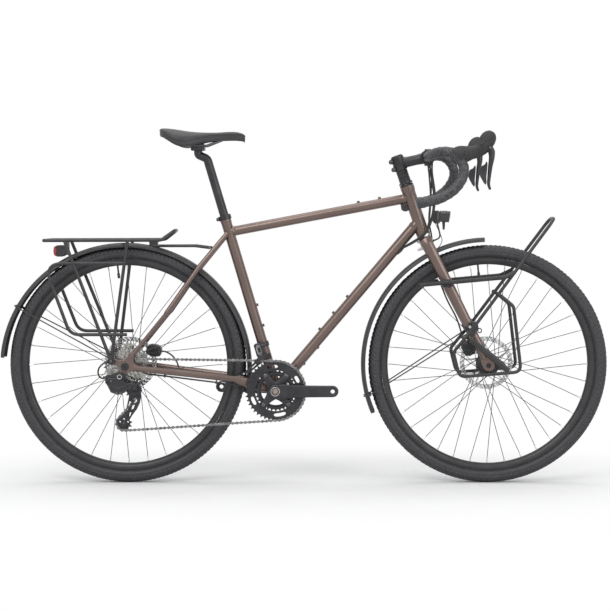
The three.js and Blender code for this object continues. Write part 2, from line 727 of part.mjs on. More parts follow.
function forkGeometry() {
  const crown = onHead(steering.crownHeight);
  const pieces = [
    sweep([onHead(steering.crownHeight), onHead(stemHigh - clearance * 8)], steering.steererRadius, tubeSides),
    sweep([onHead(steering.crownHeight - steering.crownHalf), onHead(crownTop)], blade.crownRadius, tubeSides),
  ];
  const foot = at(frontHub.x - blade.footRise * 0.45, 0, frontHub.z + blade.footRise);
  const alongBlade = foot.clone().sub(crown).normalize();
  for (const side of Object.values(mirrorSides)) {
    const corner = (drop, spread) => crown.clone().addScaledVector(alongBlade, drop)
      .add(at(0, side * spread, 0));
    const path = [corner(0, blade.crownSpread), corner(blade.shoulderDrop, blade.shoulderSpread),
      corner(blade.bladeDrop, blade.topSpread), at(foot.x, side * blade.lowSpread, foot.z)];
    const radii = [[blade.wideTop, blade.tallTop], [blade.wideTop, blade.tallTop],
      [blade.wideTop, blade.tallTop], [blade.wideLow, blade.tallLow]];
    pieces.push(sweep(path, radii, tubeSides, forwardAxis.clone().cross(alongBlade).negate()));
    const endShares = [[-0.55, -0.2], [-0.2, -0.55], [0.3, -0.55], [0.6, -0.1], [0.45, 0.5], [0, 1.1],
      [-0.75, 1.1], [-0.8, 0.6]];
    pieces.push(plate(moved(scaled(endShares, forkEnd.reach), frontHub.x, frontHub.z), forkEnd.thickness,
      side * blade.lowSpread));
  }
  const axleBore = onAxis(disc(boreFor(axleRadius), -frontHubWidth, frontHubWidth), frontHub, acrossAxis);
  const hubRoom = onAxis(disc(forkEnd.reach * 2, -frontHubWidth / 2 + clearance, frontHubWidth / 2 - clearance),
    frontHub, acrossAxis);
  return cut(join(...pieces), axleBore, hubRoom);
}

add('fork', forkGeometry(), bronzePaint);

// Spacers, stem and face plate
const barCentre = onHead((stemLow + stemHigh) / 2)
  .add(at(stemLength * Math.cos(stemRise * degree), 0, stemLength * Math.sin(stemRise * degree)));
const stem = { clampRadius: 19.5, bodyRadius: 16, barClampRadius: 22, barClampHalf: 23, split: 1 };
const barClamp = { radius: 15.9, gripRadius: 11.9 };

function barClampRing() {
  return onAxis(ring(stem.barClampRadius, boreFor(barClamp.radius), -stem.barClampHalf, stem.barClampHalf,
    tubeSides), barCentre, acrossAxis);
}

function clampHalf(sign) {
  const size = stem.barClampRadius * 3;
  return block(size, size, size, at(barCentre.x + sign * (size / 2 + clearance), 0, barCentre.z));
}

add('headset_spacers', onAxis(ring(17, boreFor(steering.steererRadius), 0, steering.spacerHeight),
  onHead(cupTop + clearance), headDirection), satinBlack);

function stemGeometry() {
  const middle = onHead((stemLow + stemHigh) / 2);
  const steererClamp = onAxis(disc(stem.clampRadius, 0, steering.stemClampHeight), onHead(stemLow),
    headDirection);
  const body = sweep([middle, barCentre], stem.bodyRadius, tubeSides);
  const bores = [
    sweep([onHead(stemLow - 1), onHead(stemHigh + 1)], boreFor(steering.steererRadius), tubeSides),
    onAxis(disc(boreFor(barClamp.radius), -stem.barClampHalf * 2, stem.barClampHalf * 2), barCentre,
      acrossAxis),
    clampHalf(1).translate(-2 * clearance, 0, 0),
  ];
  return cut(join(steererClamp, body, barClampRing()), ...bores);
}

add('stem', stemGeometry(), satinBlack);
add('stem_faceplate', cut(barClampRing(), clampHalf(-1).translate(2 * clearance, 0, 0)), satinBlack);

// Drop bar: path for one side, as shares of the bar's reach, half width and drop
const gripSides = 8;
const drop = { reach: 93, depth: 140, rise: 10, tapeStart: 62, tapeThick: 3.8 };
const barShares = [
  [0, 0.26, 0], [0.06, 0.55, 0.4], [0.3, 0.79, 1], [0.62, 0.87, 0.8], [0.87, 0.895, -0.9], [1, 0.915, -3.6],
  [0.95, 0.94, -6.6], [0.7, 0.965, -9.8], [0.31, 0.98, -12.1], [-0.02, 0.99, -13], [-0.39, 1, -13.6],
];

function barPath(side) {
  return barShares.map(([forward, out, rise]) => at(
    barCentre.x + drop.reach * forward,
    side * (barWidth / 2) * out,
    barCentre.z + drop.rise * rise,
  ));
}

function handlebarGeometry() {
  const right = barPath(-1).reverse();
  const left = barPath(1);
  const bulge = [-1, 1].map((side) => at(barCentre.x, side * (stem.barClampHalf + 4), barCentre.z));
  const neck = [-1, 1].map((side) => at(barCentre.x, side * (stem.barClampHalf + 16), barCentre.z));
  const path = [...right, neck[0], bulge[0], bulge[1], neck[1], ...left];
  const radii = path.map((point) => (Math.abs(point.y) < stem.barClampHalf + 10
    ? barClamp.radius : barClamp.gripRadius));
  return sweep(path, radii, gripSides, forwardAxis);
}

add('handlebar', handlebarGeometry(), satinBlack);

function tapeGeometry(side) {
  const path = barPath(side);
  const bare = boreFor(barClamp.gripRadius + clearance, gripSides);
  const end = path[path.length - 1];
  const ahead = end.clone().sub(path[path.length - 2]).normalize();
  const past = end.clone().addScaledVector(ahead, drop.tapeThick);
  const outer = sweep([...path, past], barClamp.gripRadius + drop.tapeThick, gripSides, forwardAxis);
  const coreEnd = end.clone().addScaledVector(ahead, clearance);
  const before = path[0].clone().add(at(0, -side * drop.tapeThick, 0));
  const core = sweep([before, ...path, coreEnd], bare, gripSides, forwardAxis);
  return cut(outer, core);
}

for (const [name, side] of Object.entries(mirrorSides)) {
  add(`bar_tape_${name}`, tapeGeometry(side), barTape);
}

// Brake and shift levers: hood, brake blade and shift paddle on each side
const hood = { length: 100, spread: 215, halfWidth: 16, backHeight: 22 };
const hoodFoot = at(barCentre.x + drop.reach * 0.88, 0, barCentre.z - drop.rise * 0.3);

// Hood sections: [forward, up, half width, half height] as shares of the hood's length and half width
const hoodSectionShares = [
  [0, 0, 0.9, 1.35], [0.22, 0.07, 1, 1.15], [0.45, 0.15, 1, 0.98], [0.62, 0.28, 0.98, 1.15],
  [0.78, 0.47, 0.9, 1.2], [0.88, 0.6, 0.55, 0.75],
];

function hoodPoint(forward, up, side) {
  return at(hoodFoot.x + hood.length * forward, side * hood.spread, hoodFoot.z + hood.length * up);
}

function hoodGeometry(side) {
  const path = hoodSectionShares.map(([forward, up]) => hoodPoint(forward, up, side));
  const radii = hoodSectionShares.map(([, , wide, tall]) => [hood.halfWidth * wide, hood.halfWidth * tall]);
  const body = sweep(path, radii, 10);
  const tapeRoom = sweep(barPath(side), boreFor(0, gripSides) + barClamp.gripRadius + drop.tapeThick,
    gripSides, forwardAxis);
  return cut(body, tapeRoom, leverEye(side, leverPivot.radius + 2 * clearance, hood.halfWidth * 2),
    ...leverPulls.map((pull) => leverRoom(side, pull)));
}

// Blade of the brake lever, below the hood: [forward, up, half width, half depth] shares of hood length
const bladeSectionShares = [
  [0.85, 0.235, 0.065, 0.06], [0.87, 0.02, 0.09, 0.07], [0.83, -0.3, 0.085, 0.055], [0.79, -0.62, 0.075, 0.045],
  [0.78, -0.8, 0.07, 0.04], [0.83, -0.93, 0.05, 0.035],
];

// The lever turns on a cross pin under the nose of the hood.
const leverPivot = { forward: 0.85, up: 0.235, radius: 7, halfWidth: 7 };

function leverEye(side, radius, halfWidth) {
  const centre = hoodPoint(leverPivot.forward, leverPivot.up, side);
  return onAxis(disc(radius, -halfWidth, halfWidth, 12), centre, acrossAxis);
}

// Room in the hood for the head of the lever, at one angle of its pull
const leverPulls = [8, 17, 26];

function leverRoom(side, pull) {
  const centre = hoodPoint(leverPivot.forward, leverPivot.up, side);
  const path = bladeSectionShares.slice(0, 3).map(([forward, up]) => hoodPoint(forward, up, side));
  const radii = bladeSectionShares.slice(0, 3).map(([, , wide, deep]) => [
    hood.length * wide + 3 * clearance,
    hood.length * deep + 3 * clearance,
  ]);
  const room = sweep(path, radii, 8);
  room.translate(-centre.x, -centre.y, -centre.z);
  room.rotateY(pull * degree);
  room.translate(centre.x, centre.y, centre.z);
  return room;
}

function leverGeometry(side) {
  const path = bladeSectionShares.map(([forward, up]) => hoodPoint(forward, up, side));
  const radii = bladeSectionShares.map(([, , wide, deep]) => [hood.length * wide, hood.length * deep]);
  return join(sweep(path, radii, 8), leverEye(side, leverPivot.radius, leverPivot.halfWidth));
}

const paddleShares = [[0.68, -0.13], [0.76, -0.04], [0.75, -0.3], [0.72, -0.62], [0.74, -0.8], [0.66, -0.74],
  [0.54, -0.43], [0.61, -0.28]];

function paddleGeometry(side) {
  const outline = paddleShares.map(([forward, up]) => {
    const point = hoodPoint(forward, up, side);
    return [point.x, point.z];
  });
  return plate(outline, hood.length * 0.05, side * hood.spread);
}

for (const [name, side] of Object.entries(mirrorSides)) {
  add(`lever_hood_${name}`, hoodGeometry(side), blackRubber);
  add(`brake_lever_${name}`, leverGeometry(side), satinBlack);
  add(`shift_paddle_${name}`, paddleGeometry(side), satinBlack);
}

// Mudguards: a rolled channel with a crown and two skirts
const guard = { halfWidth: 26, skirt: 13, thickness: 1.8, frontSteps: 13, rearSteps: 22 };
const frontGuard = { radius: 378, start: 91.5, end: 203, stayStep: 12 };
const rearGuard = { radius: 379, back: 6.4, down: 13.7, start: -7, end: 174.5, stayStep: 19 };
const guardShares = [[-1, 1], [-0.38, 0.92], [0, 0.6], [0, -0.6], [-0.38, -0.92], [-1, -1]];

function guardSection() {
  const outer = guardShares.map(([out, wide]) => [out * guard.skirt, wide * guard.halfWidth]);
  const inner = guardShares.map(([out, wide]) => [
    out * guard.skirt - (out === -1 ? 0 : guard.thickness),
    wide * guard.halfWidth - Math.sign(wide) * guard.thickness * 0.8,
  ]).reverse();
  return [...outer, ...inner].reverse();
}

// Direction of one facet corner of a guard, in degrees
function guardAngle(size, steps, step) {
  return size.start + ((size.end - size.start) * step) / steps;
}

// The front guard hangs from the fork crown on a short bolt.
const guardBolt = { radius: 6, insideReach: 371.5 };

function frontGuardGeometry() {
  const channel = arcChannel(guardSection(), frontHub, frontGuard.radius, frontGuard.start * degree,
    frontGuard.end * degree, guard.frontSteps);
  const crownFoot = steering.crownHeight - steering.crownHalf - clearance;
  return join(channel, sweep([onHead(guardBolt.insideReach), onHead(crownFoot)], guardBolt.radius, rodSides));
}

const rearGuardCentre = at(-rearGuard.back, 0, rearHub.z - rearGuard.down);
add('front_fender', frontGuardGeometry(), blackPlastic);
add('rear_fender', arcChannel(guardSection(), rearGuardCentre, rearGuard.radius, rearGuard.start * degree,
  rearGuard.end * degree, guard.rearSteps), blackPlastic);

// A wire stay from one eyelet, over the outside of the guard, to the other eyelet.
const stayWire = { radius: 2.4, clearOfSkirt: 4, bend: 7 };

function guardStay(centre, radius, angle, eyelet) {
  const direction = at(Math.cos(angle * degree), 0, Math.sin(angle * degree));
  const skirtPoint = centre.clone().addScaledVector(direction, radius - guard.skirt);
  const crownPoint = centre.clone().addScaledVector(direction, radius + stayWire.radius + clearance);
  const half = guard.halfWidth + stayWire.clearOfSkirt;
  const corners = [
    eyelet.clone().multiply(at(1, -1, 1)),
    at(skirtPoint.x, -half, skirtPoint.z), at(crownPoint.x, -half, crownPoint.z),
    at(crownPoint.x, half, crownPoint.z), at(skirtPoint.x, half, skirtPoint.z),
    eyelet,
  ];
  return sweep(rounded(corners, stayWire.bend, 1), stayWire.radius, 5);
}

// Rear rack: platform, legs, pannier hoops, seat stay rods and the lamp plate
const rack = {
  radius: 5, half: 60, rearEnd: -240, frontEnd: 108, height: 374, noseForward: 38, noseRise: 28,
  footSpread: 84, footBack: 40, footRise: 17, rearLegTop: -179, frontLegTop: 9, footPlate: 22, footThick: 6,
};
const rackZ = rearHub.z + rack.height;
const rackFoot = at(-rack.footBack, 0, rearHub.z + rack.footRise);

function rackSpread(z) {
  const share = (rackZ - z) / (rackZ - rackFoot.z);
  return rack.half + (rack.footSpread - rack.half) * share;
}

// Hoop corners behind the front leg: [share of the platform's length back, share of the leg's drop]
const hoopShares = [[0.3, 0.19], [0.97, 0.19], [0.745, 0.78], [0.29, 0.78]];

function rearRackGeometry() {
  const { radius, half, rearEnd, frontEnd, noseForward, noseRise } = rack;
  const pieces = [];
  const rail = (side) => [at(rearEnd, side * half, rackZ), at(frontEnd, side * half, rackZ),
    at(frontEnd + noseForward, side * half * 0.55, rackZ + noseRise)];
  const outline = [...rail(-1), ...rail(1).reverse()];
  pieces.push(sweep(rounded(outline, radius * 4, 1), radius, rodSides));
  pieces.push(sweep([at(rearEnd, -half, rackZ), at(rearEnd, half, rackZ)], radius, rodSides, forwardAxis));
  pieces.push(sweep([at(rearEnd, 0, rackZ), at(frontEnd, 0, rackZ)], radius * 0.8, rodSides));
  for (const share of [0.35, 0.985]) {
    const x = rearEnd + (frontEnd - rearEnd) * share;
    pieces.push(sweep([at(x, -half, rackZ), at(x, half, rackZ)], radius * 0.8, rodSides, forwardAxis));
  }
  for (const side of Object.values(mirrorSides)) {
    const foot = at(rackFoot.x, side * rack.footSpread, rackFoot.z);
    for (const top of [rack.rearLegTop, rack.frontLegTop]) {
      pieces.push(sweep([at(top, side * half, rackZ), foot], radius, rodSides));
    }
    const corners = hoopShares.map(([back, down]) => {
      const z = rackZ - (rackZ - rackFoot.z) * down;
      const x = rack.frontEnd - (rack.frontEnd - rack.rearEnd) * back;
      return at(x, side * rackSpread(z), z);
    });
    pieces.push(sweep(rounded(corners, radius * 6, 1), radius, rodSides));
    pieces.push(plate(circlePoints(foot.x, foot.z, rack.footPlate / 2, 8), rack.footThick,
      side * (rearHubWidth / 2 + dropout.thickness + clearance + rack.footThick / 2)));
  }
  return join(...pieces);
}

const rackMount = { x: 80, length: 24, depth: 34, rodRadius: 4, sink: 16 };

// The mount block is shaped underneath to the crown of the guard.
function rackFrontMount() {
  const { x, length, depth, sink } = rackMount;
  const low = rearGuardCentre.z + rearGuard.radius - sink;
  const body = block(length, depth, rackZ - low, at(x, 0, (rackZ + low) / 2));
  const crownSection = guardShares.map(([out, wide]) => [
    out * guard.skirt + clearance,
    wide * (guard.halfWidth + clearance),
  ]).reverse();
  return cut(body, arcChannel(crownSection, rearGuardCentre, rearGuard.radius, rearGuard.start * degree,
    rearGuard.end * degree, guard.rearSteps));
}

// The rods run from the front mount to the seat stays and stop just clear of them.
const stayRod = { kneeForward: 133, kneeDrop: 17, endShare: 0.86 };

function seatStayRods() {
  return [-1, 1].map((side) => {
    const stay = stayPath(seatStayShares, seatStayTop, side);
    const target = stay[2].clone().lerp(stay[3], 0.5);
    const reachBack = stays.seatRadius + rackMount.rodRadius + clearance * 3;
    const along = stay[3].clone().sub(stay[2]).normalize();
    const off = at(-along.z, 0, along.x).multiplyScalar(reachBack);
    const end = target.clone().add(off);
    const knee = at(rackMount.x + stayRod.kneeForward, end.y, rackZ - stayRod.kneeDrop);
    const start = at(rackMount.x, side * rackMount.depth * 0.35, rackZ - stayRod.kneeDrop * 0.4);
    return sweep(rounded([start, knee, end], 20, 2), rackMount.rodRadius, rodSides);
  });
}

const lampPlate = { back: 28, thickness: 3, half: 28, drop: 44 };
const tailLamp = { length: 33, half: 30, height: 34 };

function rackLampPlate() {
  return block(lampPlate.thickness, lampPlate.half * 2, lampPlate.drop,
    at(rack.rearEnd + lampPlate.back + tailLamp.length, 0, rackZ - lampPlate.drop / 2));
}

add('rear_rack', join(rearRackGeometry(), rackFrontMount(), ...seatStayRods(), rackLampPlate()), satinBlack);

function tailLampGeometry() {
  const face = rack.rearEnd + lampPlate.back + tailLamp.length - lampPlate.thickness / 2 - clearance;
  const middle = rackZ - lampPlate.drop + tailLamp.height / 2;
  const outlineShares = [[0, -0.5], [0, 0.5], [-0.8, 0.5], [-1, 0.3], [-1, -0.3], [-0.8, -0.5]];
  const outline = outlineShares.map(([back, up]) => [face + tailLamp.length * back, middle + tailLamp.height * up]);
  return plate(outline, tailLamp.half * 2, 0);
}

add('tail_lamp', tailLampGeometry(), redLens);

const rearEyelet = at(rackFoot.x, rearHubWidth / 2 - clearance - stayWire.radius, rackFoot.z + 3);
add('rear_fender_stay', guardStay(rearGuardCentre, rearGuard.radius,
  guardAngle(rearGuard, guard.rearSteps, rearGuard.stayStep), rearEyelet), satinBlack);

// Front rack: a sloped loop, a pannier rail and a low hoop on each side
const frontRack = {
  radius: 5, footSpread: 70, tipSpread: 56, clampForward: -46, clampRise: 114, tipForward: 192, tipRise: 434,
  railRear: -206, railRearRise: 240, railFront: 45, railFrontRise: 262, hoopSpread: 73,
};

function fromFrontHub(forward, side, rise) {
  return at(frontHub.x + forward, side, frontHub.z + rise);
}

// Low hoop corners from the fork clamp round to the sloped tube, as shares of the clamp's rise
const lowHoopShares = [[-0.5, 0.88], [-0.93, 0.36], [-0.77, -0.28], [0.82, -0.15], [0.62, 1.55], [0.2, 1.9]];

function frontRackGeometry() {
  const { radius, footSpread, tipSpread, clampForward, clampRise, tipForward, tipRise } = frontRack;
  const pieces = [];
  const slope = (side) => [fromFrontHub(clampForward, side * footSpread, clampRise),
    fromFrontHub(tipForward, side * tipSpread, tipRise)];
  const loop = [...slope(-1), ...slope(1).reverse()];
  pieces.push(sweep(rounded(loop, radius * 7, 2), radius, rodSides));
  for (const side of Object.values(mirrorSides)) {
    const [low, high] = slope(side);
    pieces.push(sweep([
      fromFrontHub(frontRack.railRear, side * frontRack.hoopSpread, frontRack.railRearRise),
      fromFrontHub(frontRack.railFront, side * frontRack.hoopSpread, frontRack.railFrontRise),
      low.clone().lerp(high, 0.51),
    ], radius * 1.3, rodSides));
    const corners = lowHoopShares.map(([forward, up]) => fromFrontHub(
      clampRise * forward, side * frontRack.hoopSpread, clampRise * up));
    const hoop = [low, ...corners, low.clone().lerp(high, 0.29)];
    pieces.push(sweep(rounded(hoop, radius * 4, 1), radius, rodSides));
    pieces.push(sweep([
      fromFrontHub(clampRise * -0.47, side * frontRack.hoopSpread, clampRise * 0.68),
      fromFrontHub(clampRise * 0.5, side * frontRack.hoopSpread, clampRise * -0.13),
    ], [[2.5, 9], [2.5, 9]], 4, acrossAxis, 0));
  }
  return join(...pieces);
}

// A band round each fork blade carries the front rack and the lower end of the guard stay.
const rackBand = { halfHeight: 8, wall: 3, lug: 6 };
const bladeFoot = at(frontHub.x - blade.footRise * 0.45, 0, frontHub.z + blade.footRise);
const bladeAlong = onHead(steering.crownHeight).sub(bladeFoot).normalize();
const bandDistance = (frontRack.clampRise - blade.footRise) / bladeAlong.z;

function bladeShare(distance) {
  const bladeEnd = onHead(steering.crownHeight).addScaledVector(bladeAlong, -blade.bladeDrop);
  return distance / bladeEnd.distanceTo(bladeFoot);
}

// A length of fork blade grown by some distance, for the band and for its hole.
function bladeLength(side, from, to, grow) {
  const ends = [from, to].map((distance) => {
    const share = bladeShare(distance);
    const y = blade.lowSpread + (blade.topSpread - blade.lowSpread) * share;
    return bladeFoot.clone().addScaledVector(bladeAlong, distance).add(at(0, side * y, 0));
  });
  const radii = [from, to].map((distance) => {
    const share = bladeShare(distance);
    return [
      blade.wideLow + (blade.wideTop - blade.wideLow) * share + grow,
      blade.tallLow + (blade.tallTop - blade.tallLow) * share + grow,
    ];
  });
  return sweep(ends, radii, tubeSides, forwardAxis.clone().cross(bladeAlong));
}

function rackBands() {
  const { halfHeight, wall, lug } = rackBand;
  const overrun = halfHeight * 2;
  return Object.values(mirrorSides).map((side) => {
    const collar = cut(
      bladeLength(side, bandDistance - halfHeight, bandDistance + halfHeight, wall + clearance),
      bladeLength(side, bandDistance - overrun, bandDistance + overrun, 1.5 * clearance),
    );
    const centre = bladeFoot.clone().addScaledVector(bladeAlong, bandDistance);
    const y = blade.lowSpread + (blade.topSpread - blade.lowSpread) * bladeShare(bandDistance);
    const inner = y + blade.wideLow + wall;
    const lugRod = sweep([at(centre.x, side * inner, centre.z), at(centre.x, side * frontRack.footSpread, centre.z)],
      lug, rodSides, forwardAxis);
    const link = sweep([at(centre.x, side * frontRack.footSpread, centre.z),
      fromFrontHub(frontRack.clampForward, side * frontRack.footSpread, frontRack.clampRise)], lug, rodSides);
    return join(collar, lugRod, link);
  });
}

add('front_rack', join(frontRackGeometry(), ...rackBands()), satinBlack);
const frontEyelet = fromFrontHub(
  frontRack.clampRise * lowHoopShares[0][0],
  frontRack.hoopSpread - frontRack.radius - stayWire.radius - clearance,
  frontRack.clampRise * lowHoopShares[0][1],
);
add('front_fender_stay', guardStay(frontHub, frontGuard.radius,
  guardAngle(frontGuard, guard.frontSteps, frontGuard.stayStep), frontEyelet), satinBlack);

// Headlamp on a bent arm from the crown
const lamp = { seat: 20.9, back: 18, length: 52, halfHeight: 16, halfWidth: 18, rise: 72, armRadius: 4.5 };
const crownFront = onHead(steering.crownHeight).add(at(lamp.seat, 0, 0));

function headlampGeometry() {
  const rear = at(crownFront.x, 0, crownFront.z + lamp.rise);
  const front = rear.clone().add(at(lamp.length, 0, 0));
  const middle = rear.clone().lerp(front, 0.35);
  const body = sweep([rear, middle, front],
    [[lamp.halfWidth * 0.7, lamp.halfHeight * 0.7], [lamp.halfWidth, lamp.halfHeight],
      [lamp.halfWidth, lamp.halfHeight]], 8);
  const armCorners = [crownFront, crownFront.clone().add(at(lamp.length * 0.5, 0, lamp.rise * 0.15)),
    middle.clone().add(at(lamp.length * 0.2, 0, -lamp.halfHeight * 0.5))];
  return join(body, sweep(rounded(armCorners, lamp.back, 3), lamp.armRadius, rodSides));
}

add('headlamp', headlampGeometry(), blackPlastic);

// Toothed rings. A valley clears a chain roller block; a tooth rises between two valleys.
const link = { halfBlock: 2.6, tall: 4.3, low: 3.7, outerY: 2.8, innerY: 1.15, plate: 0.9 };
const tooth = { rise: 3.4, root: 4.7, thickness: 1.7, room: 0.45 };

function pitchRadius(teeth) {
  return chainPitch / (2 * Math.sin(Math.PI / teeth));
}

function toothedOutline(teeth, phase, detailed) {
  const outline = [];
  const pitch = pitchRadius(teeth);
  const root = pitch - tooth.root;
  const valley = Math.atan((link.halfBlock + tooth.room) / root);
  for (let k = 0; k < teeth; k += 1) {
    const middle = phase + (2 * Math.PI * k) / teeth;
    const tip = middle + Math.PI / teeth;
    const corners = detailed ? [[root, middle - valley], [root, middle + valley]] : [[root, middle]];
    for (const [radius, angle] of [...corners, [pitch + tooth.rise, tip]]) {
      outline.push([radius * Math.cos(angle), radius * Math.sin(angle)]);
    }
  }
  return outline;
}

// Chain line: a plane for the large ring and a plane for the smallest sprocket
const chainLine = { ring: -50.7, innerRing: -43.2, sprocket: -61.5, sprocketStep: 3.74, skewLead: 60 };

// Rear derailleur places, from the hanger bolt
const derailleur = { guideForward: 22, guideDrop: 73, cageLength: 101, linkLength: 80, linkFall: 14 };
const guideCentre = at(derailleur.guideForward, 0, rearHub.z - derailleur.guideDrop);
const wheelCircles = (tensionAngle) => {
  const tension = guideCentre.clone().add(at(
    derailleur.cageLength * Math.cos(tensionAngle), 0, derailleur.cageLength * Math.sin(tensionAngle)));
  return [
    { centre: bracket, teeth: chainringTeeth, turn: -1 },
    { centre: tension, teeth: pulleyTeeth, turn: -1 },
    { centre: guideCentre, teeth: pulleyTeeth, turn: 1 },
    { centre: rearHub, teeth: cassetteTeeth[0], turn: -1 },
  ];
};

// The tangent line from one pitch circle to the next; turn is -1 for clockwise travel seen from the right.
function tangentLine(from, to) {
  const dx = to.centre.x - from.centre.x;
  const dz = to.centre.z - from.centre.z;
  const distance = Math.hypot(dx, dz);
  const [fromR, toR] = [pitchRadius(from.teeth) * from.turn, pitchRadius(to.teeth) * to.turn];
  const base = Math.atan2(dz, dx);
  const lean = Math.asin((fromR - toR) / distance);
  const normal = base + lean - Math.PI / 2;
  const point = (circle, radius) => [circle.centre.x + radius * Math.cos(normal),
    circle.centre.z + radius * Math.sin(normal)];
  return { start: point(from, fromR), end: point(to, toR), normal };
}

function touchAngle(point, circle) {
  return Math.atan2(point[1] - circle.centre.z, point[0] - circle.centre.x);
}

// The loop as straight runs and arcs, each with its length in links.
function chainLoop(tensionAngle) {
  const circles = wheelCircles(tensionAngle);
  const lines = circles.map((circle, i) => tangentLine(circle, circles[(i + 1) % circles.length]));
  const stretches = [];
  circles.forEach((circle, i) => {
    const arrive = lines[(i + circles.length - 1) % circles.length].end;
    const leave = lines[i].start;
    const from = touchAngle(arrive, circle);
    let sweepAngle = (touchAngle(leave, circle) - from) * circle.turn;
    while (sweepAngle < 0) sweepAngle += 2 * Math.PI;
    stretches.push({ circle, from, sweepAngle, links: (sweepAngle * circle.teeth) / (2 * Math.PI) });
    const { start, end } = lines[i];
    stretches.push({ start, end, links: Math.hypot(end[0] - start[0], end[1] - start[1]) / chainPitch });
  });
  return stretches;
}

function loopLinks(tensionAngle) {
  return chainLoop(tensionAngle).reduce((sum, stretch) => sum + stretch.links, 0);
}

// The cage angle at which the loop closes on an even number of links
const cageRest = -101.5 * degree;
const linkCount = 2 * Math.round(loopLinks(cageRest) / 2);

function closingAngle() {
  const swing = 25 * degree;
  let [low, high] = [cageRest - swing, cageRest + swing];
  const lowSign = Math.sign(loopLinks(low) - linkCount);
  for (let step = 0; step < 50; step += 1) {
    const middle = (low + high) / 2;
    if (Math.sign(loopLinks(middle) - linkCount) === lowSign) low = middle;
    else high = middle;
  }
  return (low + high) / 2;
}

const tensionAngle = closingAngle();
const tensionCentre = wheelCircles(tensionAngle)[1].centre;
const loop = chainLoop(tensionAngle);

function loopPoint(position) {
  let rest = ((position % linkCount) + linkCount) % linkCount;
  for (const stretch of loop) {
    if (rest <= stretch.links) {
      const share = rest / stretch.links;
      if (stretch.circle) {
        const { circle, from, sweepAngle } = stretch;
        const angle = from + circle.turn * sweepAngle * share;
        const radius = pitchRadius(circle.teeth);
        return [circle.centre.x + radius * Math.cos(angle), circle.centre.z + radius * Math.sin(angle)];
      }
      const { start, end } = stretch;
      return [start[0] + (end[0] - start[0]) * share, start[1] + (end[1] - start[1]) * share];
    }
    rest -= stretch.links;
  }
  return loopPoint(0);
}

// The chain bends sideways only between its lead near the sprockets and its lead near the ring.
function chainY(x) {
  const near = rearHub.x + chainLine.skewLead;
  const far = bracket.x - pitchRadius(chainringTeeth) - chainLine.skewLead / 2;
  const share = Math.min(Math.max((x - near) / (far - near), 0), 1);
  return chainLine.sprocket + (chainLine.ring - chainLine.sprocket) * share;
}

// Angle of one pin on a circle, so that each toothed ring meshes with the chain.
function meshPhase(circleIndex) {
  let start = 0;
  for (let i = 0; i < 2 * circleIndex; i += 1) start += loop[i].links;
  const { circle, from } = loop[2 * circleIndex];
  const toPin = Math.ceil(start) - start;
  return from + (circle.turn * toPin * 2 * Math.PI) / circle.teeth;
}

// Chain: each pitch is a roller block followed by a bay between two side plates. Outer links stand taller
// and wider than inner links. Bays near a toothed wheel are open, so that its teeth stand in them; on the
// free runs the links are solid.
function openBay(index) {
  const place = index + 0.5;
  let start = 0;
  for (const stretch of loop) {
    if (stretch.circle) {
      const radius = pitchRadius(stretch.circle.teeth);
      const toothReach = Math.sqrt((radius + tooth.rise) ** 2 - (radius - link.tall) ** 2);
      const margin = (toothReach + link.halfBlock) / chainPitch + 0.5;
      const [from, to] = [start - margin, start + stretch.links + margin];
      if ([place - linkCount, place, place + linkCount].some((at) => at > from && at < to)) return true;
    }
    start += stretch.links;
  }
  return false;
}

